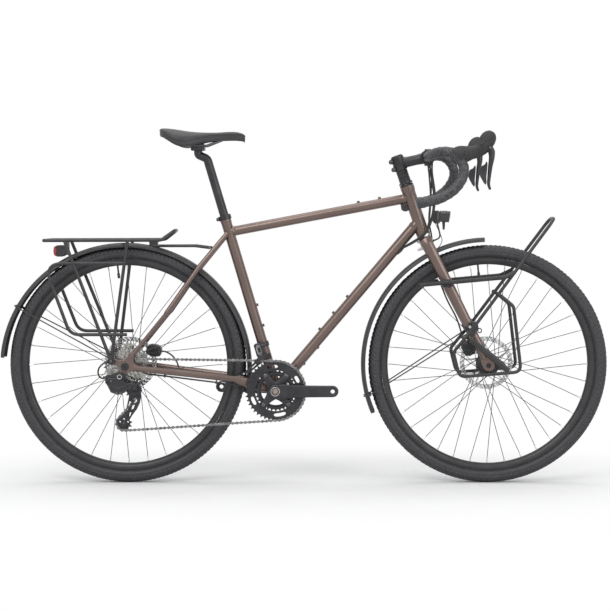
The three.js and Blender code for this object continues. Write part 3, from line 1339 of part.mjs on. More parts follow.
function chainGeometry() {
  const vertices = [];
  const index = [];
  const pins = Array.from({ length: linkCount }, (_, k) => loopPoint(k));
  const sections = [];
  const addSection = (point, step, normal, wide, full) => {
    const tall = wide ? link.tall : link.low;
    const outer = wide ? link.outerY : link.outerY - link.plate;
    const inner = wide ? link.innerY + link.plate * 0.5 : link.innerY;
    const y = chainY(point[0]);
    const corner = (sideways, height) => {
      vertices.push(point[0] + step[0] + normal[0] * height, y + sideways, point[1] + step[1] + normal[1] * height);
      return vertices.length / 3 - 1;
    };
    const across = full ? [-outer, -inner, inner, outer] : [-outer, outer];
    sections.push({
      top: across.map((sideways) => corner(sideways, tall)),
      low: across.map((sideways) => corner(sideways, -tall)),
    });
  };
  pins.forEach((pin, k) => {
    const before = pins[(k + linkCount - 1) % linkCount];
    const after = pins[(k + 1) % linkCount];
    const length = Math.hypot(after[0] - before[0], after[1] - before[1]);
    const along = [(after[0] - before[0]) / length, (after[1] - before[1]) / length];
    const normal = [-along[1], along[0]];
    const step = [along[0] * link.halfBlock, along[1] * link.halfBlock];
    addSection(pin, [-step[0], -step[1]], normal, k % 2 === 1, openBay((k + linkCount - 1) % linkCount));
    addSection(pin, step, normal, k % 2 === 0, openBay(k));
  });
  const quad = (a, b, c, d) => index.push(a, b, c, a, c, d);
  const stitch = (near, far, flip) => {
    let [i, j] = [0, 0];
    while (i + 1 < near.length || j + 1 < far.length) {
      const nearFirst = j + 1 === far.length || (i + 1 < near.length && i / near.length <= j / far.length);
      const face = nearFirst ? [near[i], far[j], near[i + 1]] : [near[i], far[j], far[j + 1]];
      if (nearFirst) i += 1;
      else j += 1;
      index.push(...(flip ? face.reverse() : face));
    }
  };
  sections.forEach((a, i) => {
    const b = sections[(i + 1) % sections.length];
    const [aLast, bLast] = [a.top.length - 1, b.top.length - 1];
    quad(a.top[0], a.low[0], b.low[0], b.top[0]);
    quad(a.low[aLast], a.top[aLast], b.top[bLast], b.low[bLast]);
    if (i % 2 === 1 && openBay((i - 1) / 2)) {
      quad(a.top[1], a.top[0], b.top[0], b.top[1]);
      quad(a.low[0], a.low[1], b.low[1], b.low[0]);
      quad(a.low[1], a.top[1], b.top[1], b.low[1]);
      quad(a.top[3], a.top[2], b.top[2], b.top[3]);
      quad(a.low[2], a.low[3], b.low[3], b.low[2]);
      quad(a.top[2], a.low[2], b.low[2], b.top[2]);
      quad(a.low[2], a.top[2], a.top[1], a.low[1]);
      quad(b.top[2], b.low[2], b.low[1], b.top[1]);
    } else {
      stitch(a.top, b.top, false);
      stitch(a.low, b.low, true);
    }
  });
  const geometry = new THREE.BufferGeometry();
  geometry.setAttribute('position', new THREE.Float32BufferAttribute(vertices, 3));
  geometry.setIndex(index);
  return geometry;
}

add('chain', chainGeometry(), chainSteel);

// Cranks and chainrings
const crank = {
  thickness: 14, rootHalf: 19.5, tipHalf: 15, face: 64, spiderReach: 55, spiderHalf: 9, spiderThick: 6,
  innerReach: 40, tabHalf: 7, eyeRadius: 7, eyeRound: 15, innerEdge: 49, slotInner: 70, slotOuter: 79,
  slotSpan: 15, ringThick: 1.7, spiderTurn: 50, hubRadius: 24,
};

function armOutline(direction) {
  const tip = circlePoints(direction * crankLength, 0, crank.eyeRound, 12, Math.PI / 12);
  const root = circlePoints(0, 0, crank.rootHalf, 12, Math.PI / 12);
  const upper = [[0, crank.rootHalf], [direction * crankLength, crank.tipHalf],
    [direction * crankLength, -crank.tipHalf], [0, -crank.rootHalf]];
  return { tip, root, upper };
}

function armGeometry(direction, middle) {
  const { tip, root, upper } = armOutline(direction);
  const body = join(plate(upper, crank.thickness, middle), plate(tip, crank.thickness, middle),
    plate(root, crank.thickness, middle));
  const eye = plate(circlePoints(direction * crankLength, 0, crank.eyeRadius, 12), crank.thickness * 2, middle);
  return cut(body, eye);
}

const crankGroup = groupAt(bracket);
const armMiddle = crank.face + crank.thickness / 2;
const ringFace = -chainLine.ring + crank.ringThick / 2 + clearance;

function spiderAngles() {
  return [0, 1, 2, 3].map((k) => (crank.spiderTurn + 90 * k) * degree);
}

function rightCrankGeometry() {
  const pieces = [armGeometry(1, -armMiddle)];
  pieces.push(disc(spindleRadius, -crank.face - 1, crank.face + crank.thickness * 0.6));
  pieces.push(disc(crank.hubRadius, -crank.face - 1, -cupFace - cup.width - clearance));
  for (const angle of spiderAngles()) {
    const out = at(Math.cos(angle), 0, Math.sin(angle));
    const y = -ringFace - crank.spiderThick / 2;
    pieces.push(sweep([
      out.clone().multiplyScalar(crank.hubRadius / 2).add(at(0, y, 0)),
      out.clone().multiplyScalar(crank.spiderReach + crank.tabHalf).add(at(0, y, 0)),
    ], [[crank.spiderThick / Math.SQRT2, crank.spiderHalf * Math.SQRT2],
      [crank.spiderThick / Math.SQRT2, crank.tabHalf * Math.SQRT2]], 4));
    const innerStop = chainLine.innerRing - crank.ringThick / 2 - clearance;
    pieces.push(sweep([
      out.clone().multiplyScalar(crank.innerReach).add(at(0, y, 0)),
      out.clone().multiplyScalar(crank.innerReach).add(at(0, innerStop, 0)),
    ], crank.tabHalf * 0.7, rodSides, upAxis));
  }
  return join(...pieces);
}

function chainringHoles() {
  return spiderAngles().map((angle) => {
    const middle = angle + 45 * degree;
    const edge = (radius, shares) => shares.map((share) => {
      const turn = middle + crank.slotSpan * degree * share;
      return [radius * Math.cos(turn), radius * Math.sin(turn)];
    });
    return [...edge(crank.slotOuter, [-1, 0, 1]), ...edge(crank.slotInner, [1, 0, -1])];
  });
}

function ringGeometry(teeth, phase, innerRadius, middle, holes) {
  const bore = circlePoints(0, 0, innerRadius, 20);
  return plate(toothedOutline(teeth, phase, teeth === chainringTeeth), crank.ringThick, middle, [bore, ...holes]);
}

add('crank_right', rightCrankGeometry(), satinBlack, crankGroup);
add('chainring_outer', ringGeometry(chainringTeeth, meshPhase(0), crank.innerEdge, chainLine.ring,
  chainringHoles()), satinBlack, crankGroup);
add('chainring_inner', ringGeometry(innerRingTeeth, 0, crank.innerReach - crank.tabHalf, chainLine.innerRing, []),
  satinBlack, crankGroup);
add('crank_left', cut(armGeometry(-1, armMiddle), disc(boreFor(spindleRadius), 0, crank.face * 2)), satinBlack,
  crankGroup);

// Cassette: toothed sprockets on a freehub body
function cassetteGeometry() {
  const coreRadius = 17;
  const outerEnd = chainLine.sprocket - 3;
  const innerEnd = hubSizes.rear.right - hubSizes.rear.flangeThick - clearance;
  const sprockets = cassetteTeeth.map((teeth, k) => {
    const outline = toothedOutline(teeth, k === 0 ? meshPhase(3) : 0, k === 0);
    return plate(outline, tooth.thickness, chainLine.sprocket + chainLine.sprocketStep * k);
  });
  const bore = disc(boreFor(axleRadius), outerEnd * 2, 0, tubeSides);
  return cut(join(disc(coreRadius, outerEnd, innerEnd, tubeSides), ...sprockets), bore);
}

add('cassette', cassetteGeometry(), brightSteel, groupAt(rearHub));

// Pulleys of the rear derailleur
function pulleyGeometry(circleIndex) {
  const phase = meshPhase(circleIndex);
  const outline = toothedOutline(pulleyTeeth, phase, true);
  return plate(outline, tooth.thickness, chainLine.sprocket, [circlePoints(0, 0, boreFor(pulleyPin, 8), 8)]);
}

const pulleyPin = 2.5;
add('guide_pulley', pulleyGeometry(2), blackPlastic, groupAt(guideCentre));
add('tension_pulley', pulleyGeometry(1), blackPlastic, groupAt(tensionCentre));

// Derailleur cage: two plates and the pulley pins
const cage = { plate: 1.8, halfGap: 4.6, guideRound: 11, tensionRound: 15, waist: 7, pivotBack: 4, pivotUp: 14 };
const cageOuterY = chainLine.sprocket - cage.halfGap - cage.plate / 2;
const cageInnerY = chainLine.sprocket + cage.halfGap + cage.plate / 2;

function cagePlate(y) {
  const down = tensionCentre.clone().sub(guideCentre).normalize();
  const across = at(-down.z, 0, down.x);
  const waistShares = [0.03, 0.5, 0.97];
  const sides = (sign) => waistShares.map((share) => {
    const middle = guideCentre.clone().lerp(tensionCentre, share)
      .addScaledVector(across, sign * cage.waist);
    return [middle.x, middle.z];
  });
  const web = [...sides(1), ...sides(-1).reverse()];
  return join(
    plate(web, cage.plate, y),
    plate(circlePoints(guideCentre.x, guideCentre.z, cage.guideRound, 10), cage.plate, y),
    plate(circlePoints(tensionCentre.x, tensionCentre.z, cage.tensionRound, 12), cage.plate, y),
  );
}

function cageGeometry() {
  const pins = [guideCentre, tensionCentre].map((centre) => onAxis(
    disc(pulleyPin, cageOuterY, cageInnerY, 8), centre, acrossAxis));
  return join(cagePlate(cageOuterY), cagePlate(cageInnerY), ...pins);
}

add('rear_derailleur_cage', cageGeometry(), satinBlack);

// Derailleur knuckles and link, outside the cage. Both pivots of the link share one tilted axis, so that
// the cage moves inwards and down.
const knuckle = {
  radius: 10, width: 17, armHalf: 7, armTall: 7, eye: 8, linkHalf: 6.5, linkTall: 6.5, pivotBack: 50,
  pivotDrop: 42, drumRadius: 12, eyeHeight: 11,
};
const knuckleFace = dropoutMiddle + dropout.thickness / 2 + clearance;
const knuckleY = -knuckleFace - knuckle.width / 2;
const linkAxis = at(0, 0.6, 0.8);
const hangerBolt = at(-dropout.hangerBack, 0, rearHub.z - dropout.hangerDown);
const linkRear = at(-knuckle.pivotBack, knuckleY, rearHub.z - knuckle.pivotDrop);
const linkFront = at(linkRear.x + derailleur.linkLength, knuckleY, linkRear.z - derailleur.linkFall);
const cagePivot = at(guideCentre.x + cage.pivotBack, 0, guideCentre.z + cage.pivotUp);

// A pivot boss on the link axis, between two heights along that axis.
function pivotBoss(centre, low, high, radius = knuckle.eye) {
  return onAxis(disc(radius, low, high, 10), centre, linkAxis);
}

function knuckleGeometry() {
  const bolt = onAxis(disc(dropout.hangerHole * 0.8, knuckleY, -rearHubWidth / 2, rodSides),
    at(hangerBolt.x, 0, hangerBolt.z), acrossAxis);
  const body = onAxis(disc(knuckle.radius, -knuckle.width / 2, knuckle.width / 2),
    at(hangerBolt.x, knuckleY, hangerBolt.z), acrossAxis);
  const seat = knuckle.linkTall + clearance;
  const boss = pivotBoss(linkRear, seat, seat + knuckle.eyeHeight);
  const arm = sweep([at(hangerBolt.x, knuckleY, hangerBolt.z),
    linkRear.clone().addScaledVector(linkAxis, seat + knuckle.eyeHeight * 0.5)],
  [[knuckle.armHalf, knuckle.armTall], [knuckle.armHalf, knuckle.armTall]], 8);
  return cut(join(bolt, body, boss, arm), pivotBoss(linkRear, -knuckle.width, seat, knuckle.width * 1.2));
}

function linkGeometry() {
  const { linkHalf, linkTall } = knuckle;
  const bar = sweep([linkRear, linkFront], [[linkHalf, linkTall], [linkHalf, linkTall * 0.9]], 8);
  const levelled = pivotBoss(linkRear.clone().lerp(linkFront, 0.5), linkTall, linkTall * 4,
    derailleur.linkLength);
  return cut(join(bar, pivotBoss(linkRear, -linkTall, linkTall), pivotBoss(linkFront, -linkTall, linkTall)),
    levelled);
}

function cageKnuckleGeometry() {
  const seat = -knuckle.linkTall - clearance;
  const eye = pivotBoss(linkFront, seat - knuckle.eyeHeight, seat);
  const far = cageOuterY - cage.plate / 2 - clearance;
  const near = knuckleY + knuckle.eye + clearance;
  const drum = onAxis(disc(knuckle.drumRadius, near, far), at(cagePivot.x, 0, cagePivot.z), acrossAxis);
  const web = sweep([linkFront.clone().addScaledVector(linkAxis, seat - knuckle.eyeHeight * 0.5),
    at(cagePivot.x, near + knuckle.eye, cagePivot.z - knuckle.armTall)],
  knuckle.eyeHeight / 2, 8, upAxis);
  const linkRoom = sweep([linkRear, linkFront.clone().add(at(knuckle.eye, 0, 0))],
    [[knuckle.eye + clearance, knuckle.linkTall + clearance * 2],
      [knuckle.eye + clearance, knuckle.linkTall + clearance * 2]], 8);
  const bossRoom = pivotBoss(linkFront, seat, knuckle.width, knuckle.eye + clearance * 2);
  return cut(join(eye, drum, web), linkRoom, bossRoom);
}

add('rear_derailleur_mount', knuckleGeometry(), satinBlack);
add('rear_derailleur_link', linkGeometry(), satinBlack);
add('rear_derailleur_knuckle', cageKnuckleGeometry(), satinBlack);

// Front derailleur: clamp band on the seat tube and a cage over the large ring
const changer = { bandHeight: 14, bandWall: 3, onSeat: 140, gap: 5.5, plate: 1.4, inner: 96, outer: 112,
  from: 92, to: 128, bridgeTo: 106, armAngle: 108, armReach: 104, arm: 5.5, reach: 44 };
const changerPivot = onSeat(changer.onSeat).add(at(0, -changer.reach, 0));

function changerEye(radius, half) {
  return onAxis(disc(radius, -half, half, 10), changerPivot, forwardAxis);
}

function changerClampGeometry() {
  const low = onSeat(changer.onSeat - changer.bandHeight / 2);
  const outer = frameTube.seat + changer.bandWall;
  const band = sweep([low, onSeat(changer.onSeat + changer.bandHeight / 2)], outer, tubeSides);
  const body = sweep([onSeat(changer.onSeat), changerPivot], changer.arm * 0.8, 8, upAxis);
  const bore = sweep([onSeat(changer.onSeat - changer.bandHeight), onSeat(changer.onSeat + changer.bandHeight)],
    frameTube.seat + 1.5 * clearance, tubeSides);
  return cut(join(band, body), bore, changerEye(changer.arm + 1.5 * clearance, changer.arm * 2));
}

function changerCageGeometry() {
  const sector = (inner, outer, to = changer.to) => {
    const steps = 5;
    const angles = Array.from({ length: steps + 1 }, (_, k) => (changer.from
      + ((to - changer.from) * k) / steps) * degree);
    const edge = (radius, list) => list.map((angle) => [bracket.x + radius * Math.cos(angle),
      bracket.z + radius * Math.sin(angle)]);
    return [...edge(outer, angles), ...edge(inner, [...angles].reverse())];
  };
  const offset = changer.gap + changer.plate / 2;
  const plates = [-1, 1].map((side) => plate(sector(changer.inner, changer.outer), changer.plate,
    chainLine.ring + side * offset));
  const bridge = plate(sector(changer.outer - 3, changer.outer, changer.bridgeTo), 2 * offset, chainLine.ring);
  const armEnd = at(
    bracket.x + changer.armReach * Math.cos(changer.armAngle * degree),
    chainLine.ring + offset,
    bracket.z + changer.armReach * Math.sin(changer.armAngle * degree),
  );
  const arm = sweep([changerPivot, armEnd], [[changer.arm * 0.6, changer.arm], [changer.arm * 0.6, changer.arm]], 8);
  return join(...plates, bridge, arm, changerEye(changer.arm, changer.arm));
}

add('front_derailleur_clamp', changerClampGeometry(), satinBlack);
add('front_derailleur_cage', changerCageGeometry(), satinBlack);

// Disc calipers straddle their rotors
const caliper = { length: 46, depth: 30, height: 34, slot: 3.6, rotorRoom: 2 };

function caliperGeometry(hubCentre, rotorY, centre, lean) {
  const body = new THREE.BoxGeometry(caliper.length, caliper.depth, caliper.height);
  body.rotateY(lean * degree);
  body.translate(centre.x, rotorY, centre.z);
  const slot = onAxis(disc(rotor.radius + caliper.rotorRoom, rotorY - caliper.slot / 2, rotorY + caliper.slot / 2,
    rotor.segments), hubCentre, acrossAxis);
  return cut(body, slot);
}

const caliperLean = { rear: 10, front: 62 };
const rearCaliperAt = at(72, 0, rearHub.z + 38);
const frontCaliperAt = fromFrontHub(-54.8, 0, 44);
add('rear_caliper', caliperGeometry(rearHub, hubSizes.rear.rotor, rearCaliperAt, caliperLean.rear), satinBlack);
add('front_caliper', caliperGeometry(frontHub, hubSizes.front.rotor, frontCaliperAt, caliperLean.front), satinBlack);

// Hoses and housings, held by the bicycle along their whole routes
const hoseRadius = 2.5;

const hoseSides = 5;

function hosePath(points) {
  const curve = new THREE.CatmullRomCurve3(points, false, 'centripetal');
  return curve.getPoints(points.length * 2);
}

function hose(points) {
  return sweep(hosePath(points), hoseRadius, hoseSides);
}

// Where a cable leaves the inner end of the bar tape, beside the bar
const cableStart = barClamp.gripRadius + drop.tapeThick - clearance;

function leavingTape(side, angle) {
  const inner = barPath(side)[0];
  const off = cableStart;
  return at(inner.x + off * Math.cos(angle * degree), inner.y - side * clearance,
    inner.z + off * Math.sin(angle * degree));
}

const portShare = 0.8506;

function cablePort(y) {
  const onAxisPoint = downTubeEnds[0].clone().lerp(downTubeEnds[1], portShare);
  return onAxisPoint.addScaledVector(perpendicular(...downTubeEnds, -1), frameTube.down * 0.75).add(at(0, y, 0));
}

// Route of each cable round the head tube: [forward from the bar, out as a share of its start, height share]
function portRoute(side, angle, spread, landing) {
  const start = leavingTape(side, angle);
  const port = cablePort(landing);
  const fall = start.z - port.z;
  const bow = [[16, 0.74, 0.1], [22, 0.6, 0.35], [2, 0.52, 0.6], [-30, 0.47, 0.8], [-62, 0.32, 0.95]];
  const middle = bow.map(([forward, out, down]) => at(
    start.x + forward + spread,
    side * Math.abs(start.y) * out + side * spread * 0.5,
    start.z - fall * down,
  ));
  return [start, ...middle, port];
}

const portRoutes = {
  rear_brake_hose: portRoute(-1, -100, 0, -7),
  rear_shift_housing: portRoute(-1, -35, 6, -0.5),
  front_shift_housing: portRoute(1, -35, 6, 6),
};
for (const [name, route] of Object.entries(portRoutes)) {
  add(name, hose(route), blackRubber);
}

// The cable holes in the down tube follow the last stretch of each cable.
function portHole(route) {
  const path = hosePath(route).slice(-4);
  const last = path[path.length - 1];
  const past = last.clone().sub(path[path.length - 2]).setLength(2 * clearance).add(last);
  return sweep([...path, past], boreFor(hoseRadius, hoseSides), hoseSides);
}

add('frame', frameGeometry(Object.values(portRoutes).map(portHole)), bronzePaint);

// The front hose passes ahead of the head tube, outside the left fork blade and down behind it to its caliper.
const frontHose = { forward: 34, out: 49, crownForward: 24, crownOut: 57, high: 475, low: 418, outside: 59 };

function frontHoseRoute() {
  const start = leavingTape(1, -100);
  const foot = at(frontHub.x - blade.footRise * 0.45, 0, frontHub.z + blade.footRise);
  const crown = onHead(steering.crownHeight);
  const along = crown.clone().sub(foot).normalize();
  const behind = at(-along.z, 0, along.x);
  const offset = blade.tallTop + hoseRadius + 3 * clearance;
  const besideBlade = (share, y, back = 1) => foot.clone().lerp(crown, share)
    .addScaledVector(behind, offset * back).add(at(0, y, 0));
  const top = caliper.length / 2 + clearance;
  const end = at(frontCaliperAt.x - top * Math.cos(caliperLean.front * degree), hubSizes.front.rotor,
    frontCaliperAt.z + top * Math.sin(caliperLean.front * degree));
  const lead = hood.halfWidth;
  return [
    start, start.clone().add(at(lead, -lead * 0.9, -lead * 1.4)),
    start.clone().add(at(lead, -lead * 0.9, -lead * 5.6)),
    onHead(frontHose.high).add(at(frontHose.forward, frontHose.out, 0)),
    onHead(frontHose.low).add(at(frontHose.crownForward, frontHose.crownOut, 0)),
    besideBlade(0.88, frontHose.outside, 0), besideBlade(0.7, frontHose.outside, 0.62),
    besideBlade(0.52, 49), besideBlade(0.35, 44), end.clone().add(at(-6, 1, 16)), end,
  ];
}

add('front_brake_hose', hose(frontHoseRoute()), blackRubber);

bicycle.updateMatrixWorld(true);
const bounds = new THREE.Box3().setFromObject(bicycle);
const middle = bounds.getCenter(at(0, 0, 0));
bicycle.position.set(-middle.x, -middle.y, -bounds.min.z);

export default bicycle;
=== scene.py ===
# Touring bicycle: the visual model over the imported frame. Lengths are in millimetres from the rear hub,
# with the ground at zero height, and each mesh is written in metres in the frame's own place.
import json
import math

import bpy
from mathutils import Matrix, Vector


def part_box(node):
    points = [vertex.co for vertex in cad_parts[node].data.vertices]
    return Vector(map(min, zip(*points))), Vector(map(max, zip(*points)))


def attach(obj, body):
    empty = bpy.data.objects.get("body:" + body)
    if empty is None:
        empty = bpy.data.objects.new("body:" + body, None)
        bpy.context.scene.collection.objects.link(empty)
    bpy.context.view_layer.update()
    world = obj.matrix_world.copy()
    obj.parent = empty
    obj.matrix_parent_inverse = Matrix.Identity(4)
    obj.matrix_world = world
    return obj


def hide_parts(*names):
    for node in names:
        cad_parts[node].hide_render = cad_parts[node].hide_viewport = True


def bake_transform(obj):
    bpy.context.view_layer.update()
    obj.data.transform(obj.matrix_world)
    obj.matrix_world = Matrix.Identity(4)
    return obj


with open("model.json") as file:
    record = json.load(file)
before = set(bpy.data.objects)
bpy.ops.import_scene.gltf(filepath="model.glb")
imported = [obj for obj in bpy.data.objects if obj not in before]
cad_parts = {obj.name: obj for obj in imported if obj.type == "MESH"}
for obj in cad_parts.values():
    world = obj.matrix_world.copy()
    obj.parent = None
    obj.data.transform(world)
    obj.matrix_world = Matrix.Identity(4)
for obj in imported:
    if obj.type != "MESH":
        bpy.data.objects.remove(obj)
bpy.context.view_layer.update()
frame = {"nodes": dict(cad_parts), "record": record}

MM = 0.001
DEGREE = math.pi / 180
TURN = 2 * math.pi
ROTOR_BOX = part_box("rear_rotor")
ORIGIN_X = (ROTOR_BOX[0][0] + ROTOR_BOX[1][0]) / 2


def at(x, y, z):
    return Vector((x, y, z))


def around(radius, angle, y=0.0):
    """A step of this radius at an angle from forward, in the plane of the wheels."""
    return at(radius * math.cos(angle), y, radius * math.sin(angle))


def spot(centre, radius, angle):
    """X and Z of the point at a radius and an angle about a centre."""
    return centre.x + radius * math.cos(angle), centre.z + radius * math.sin(angle)


def metres(point):
    return point[0] * MM + ORIGIN_X, point[1] * MM, point[2] * MM


# Main sizes, as in the solids
WHEELBASE = 1077.5
WHEEL_RADIUS = 356
RIM_INNER = 298
RIM_OUTER = 316.5
RIM_WIDTH = 25.6
TYRE_WIDTH = 45
HEAD_ANGLE = 71 * DEGREE
FORK_OFFSET = 54.4
SEAT_ANGLE = 73.6 * DEGREE
BRACKET = at(445.3, 0, 281.2)
REAR_HUB = at(0, 0, WHEEL_RADIUS)
FRONT_HUB = at(WHEELBASE, 0, WHEEL_RADIUS)
CHAIN_PITCH = 12.7
COGS = [11, 13, 15, 17, 19, 21, 23, 25, 27, 30, 34]
SIDES = {"right": -1, "left": 1}
ACROSS = at(0, 1, 0)
FORWARD = at(1, 0, 0)
UP = at(0, 0, 1)
SEAT_DIRECTION = around(1, math.pi - SEAT_ANGLE)
HEAD_DIRECTION = around(1, math.pi - HEAD_ANGLE)
STEERING_FOOT = FRONT_HUB - around(FORK_OFFSET, math.pi / 2 - HEAD_ANGLE)


def on_seat(distance):
    return BRACKET + SEAT_DIRECTION * distance


def on_head(distance):
    return STEERING_FOOT + HEAD_DIRECTION * distance


# Camera, at the photograph's viewing angle
CAMERA_PLACE = (655.24, -5011.24, 824.14)
CAMERA_YAW, CAMERA_PITCH, CAMERA_ROLL = 0.0245, 0.0579, -0.0035
camera = bpy.data.objects.new("camera", bpy.data.cameras.new("camera"))
bpy.context.scene.collection.objects.link(camera)
bpy.context.scene.camera = camera
camera.data.sensor_width = 36
camera.data.lens = 98.94
camera.data.clip_end = 100
look = at(-math.sin(CAMERA_YAW) * math.cos(CAMERA_PITCH), math.cos(CAMERA_YAW) * math.cos(CAMERA_PITCH),
          -math.sin(CAMERA_PITCH))
level = at(math.cos(CAMERA_YAW), math.sin(CAMERA_YAW), 0)
rise = level.cross(look)
tilted_right = level * math.cos(CAMERA_ROLL) + rise * math.sin(CAMERA_ROLL)
tilted_up = rise * math.cos(CAMERA_ROLL) - level * math.sin(CAMERA_ROLL)
camera_turn = Matrix((tilted_right, tilted_up, -look)).transposed().to_4x4()
camera.matrix_world = Matrix.Translation(metres(CAMERA_PLACE)) @ camera_turn


# Materials
class Nodes:
    """A small helper that adds and joins the shader nodes of one material or world."""

    def __init__(self, owner):
        owner.use_nodes = True
        self.tree = owner.node_tree
        self.shader = self.tree.nodes.get("Principled BSDF")

    def feed(self, node, key, value):
        """Sets an input, or links it where the value is the output of another node."""
        target = node.inputs[key.replace("_", " ") if isinstance(key, str) else key]
        if isinstance(value, bpy.types.NodeSocket):
            self.tree.links.new(value, target)
        else:
            target.default_value = value

    def add(self, kind, *numbered, **named):
        """A new node with its properties set and its inputs fed; returns its outputs."""
        node = self.tree.nodes.new("ShaderNode" + kind)
        for key, value in named.items():
            if hasattr(node, key):
                setattr(node, key, value)
            else:
                self.feed(node, key, value)
        for key, value in enumerate(numbered):
            if value is not None:
                self.feed(node, key, value)
        return node.outputs

    def dress(self, **inputs):
        for key, value in inputs.items():
            self.feed(self.shader, key, value)

    def texture(self, kind, scale, source="Object", **values):
        coordinates = self.add("TexCoord")[source]
        return self.add("Tex" + kind, Scale=scale, Vector=coordinates, **values)

    def noise(self, scale, detail=4):
        return self.texture("Noise", scale, Detail=detail, Roughness=0.55)["Fac"]

    def ramp(self, value, low, high, start=0.35, stop=0.65):
        node = self.tree.nodes.new("ShaderNodeValToRGB")
        first, second = node.color_ramp.elements
        first.position, first.color = start, (*low, 1)
        second.position, second.color = stop, (*high, 1)
        self.feed(node, "Fac", value)
        return node.outputs["Color"]

    def spread(self, value, low, high):
        return self.add("MapRange", Value=value, To_Min=low, To_Max=high)["Result"]

    def bump(self, value, strength, distance):
        self.dress(Normal=self.add("Bump", Strength=strength, Distance=distance, Height=value)["Normal"])

    def math(self, operation, *numbered):
        return self.add("Math", *numbered, operation=operation)[0]


MATERIALS = {}


def new_nodes(name):
    MATERIALS[name] = bpy.data.materials.new(name)
    return Nodes(MATERIALS[name])


def coated(name, low, high, rough, metallic=0.0, scale=30, grain=(0.08, 900), cells=None):
    """Paint, plastic, rubber or leather: two mixed shades, an uneven gloss and a fine relief."""
    nodes = new_nodes(name)
    nodes.dress(Base_Color=nodes.ramp(nodes.noise(scale), low, high), Metallic=metallic,
                Roughness=nodes.spread(nodes.noise(scale * 3), *rough))
    if cells:
        feature, cell_scale, strength, depth = cells
        nodes.bump(nodes.texture("Voronoi", cell_scale, feature=feature)["Distance"], strength, depth)
    else:
        nodes.bump(nodes.noise(grain[1], detail=3), grain[0], 0.0004)
    return nodes


def brushed(name, low, high, rough):
    """Metal with fine streaks along one direction."""
    nodes = new_nodes(name)
    stretched = nodes.add("Mapping", Scale=(40, 900, 40), Vector=nodes.add("TexCoord")["Object"])["Vector"]
    streak = nodes.add("TexNoise", Scale=1, Detail=5, Vector=stretched)["Fac"]
    nodes.dress(Base_Color=nodes.ramp(streak, low, high), Metallic=1,
                Roughness=nodes.spread(nodes.noise(60), *rough))
    nodes.bump(streak, 0.06, 0.0002)


def bronze_paint():
    """Metallic paint: its shade is multiplied by fine flakes, under a clear coat."""
    nodes = coated("bronze_paint", (0.128, 0.088, 0.075), (0.16, 0.111, 0.096), (0.27, 0.35), 0.62, 6,
                   (0.05, 260))
    base = nodes.shader.inputs["Base Color"].links[0].from_socket
    flake = nodes.ramp(nodes.texture("Voronoi", 2400)["Color"], (0.72, 0.7, 0.68), (1, 1, 1), 0.1, 0.7)
    mixed = nodes.add("Mix", 0.35, *[None] * 5, base, flake, data_type="RGBA", blend_type="MULTIPLY")[2]
    nodes.dress(Base_Color=mixed, Coat_Weight=0.4, Coat_Roughness=0.22)


def tyre_rubber():
    """Rubber with fine blocks on the crown and ribbed sides, laid out by the mesh's own map."""
    nodes = new_nodes("tyre_rubber")
    nodes.dress(Base_Color=nodes.ramp(nodes.noise(160, 6), (0.018, 0.018, 0.021), (0.042, 0.042, 0.046),
                                      0.3, 0.7),
                Roughness=nodes.spread(nodes.noise(70), 0.42, 0.6))
    layout = nodes.add("TexCoord")["UV"]
    across = nodes.add("SeparateXYZ", layout)["Y"]
    block_layout = nodes.add("Mapping", Scale=(230, 16, 1), Vector=layout)["Vector"]
    blocks = nodes.add("TexBrick", offset=0.5, squash=1, Scale=1, Mortar_Size=0.13, Mortar_Smooth=0.5,
                       Brick_Width=1, Row_Height=0.8, Color1=(1, 1, 1, 1), Color2=(0.85, 0.85, 0.85, 1),
                       Mortar=(0, 0, 0, 1), Vector=block_layout)["Color"]
    ribs = nodes.math("MULTIPLY", nodes.math("SINE", nodes.math("MULTIPLY", across, 230)), 0.18)
    from_crown = nodes.math("ABSOLUTE", nodes.math("SUBTRACT", across, 0.5))
    crown = nodes.add("MapRange", Value=from_crown, From_Min=0.2, From_Max=0.24, To_Min=1,
                      To_Max=0)["Result"]
    grey = nodes.add("RGBToBW", Color=blocks)["Val"]
    nodes.bump(nodes.add("Mix", crown, None, ribs, grey, data_type="FLOAT")[0], 0.5, 0.0006)


bronze_paint()
tyre_rubber()
coated("satin_black", (0.024, 0.024, 0.026), (0.036, 0.036, 0.038), (0.36, 0.46), 0.2, grain=(0.15, 1300))
coated("black_alloy", (0.026, 0.026, 0.029), (0.042, 0.042, 0.046), (0.3, 0.4), 0.45, grain=(0.1, 1500))
coated("black_plastic", (0.024, 0.024, 0.026), (0.036, 0.036, 0.038), (0.42, 0.55), grain=(0.2, 1100))
coated("black_rubber", (0.016, 0.016, 0.017), (0.028, 0.028, 0.029), (0.6, 0.72), grain=(0.25, 1400))
coated("bar_tape", (0.014, 0.014, 0.016), (0.062, 0.062, 0.068), (0.38, 0.58), scale=150,
       cells=("F1", 420, 0.35, 0.0006))
coated("cover_leather", (0.022, 0.022, 0.024), (0.036, 0.036, 0.04), (0.46, 0.6), scale=18,
       cells=("DISTANCE_TO_EDGE", 620, 0.25, 0.0005)).dress(Sheen_Weight=0.06)
for lens_name, low, high in (("red_lens", (0.3, 0.012, 0.012), (0.42, 0.02, 0.018)),
                             ("clear_lens", (0.55, 0.56, 0.58), (0.8, 0.81, 0.83))):
    coated(lens_name, low, high, (0.06, 0.12), scale=60,
           cells=("DISTANCE_TO_EDGE", 260, 0.5, 0.0008)).dress(Coat_Weight=0.5)
brushed("bright_steel", (0.4, 0.4, 0.405), (0.62, 0.62, 0.625), (0.2, 0.34))
brushed("chain_steel", (0.14, 0.14, 0.143), (0.32, 0.32, 0.32), (0.26, 0.42))
brushed("dark_steel", (0.09, 0.09, 0.095), (0.17, 0.17, 0.175), (0.32, 0.44))
brushed("cog_steel", (0.13, 0.127, 0.12), (0.52, 0.51, 0.49), (0.2, 0.36))
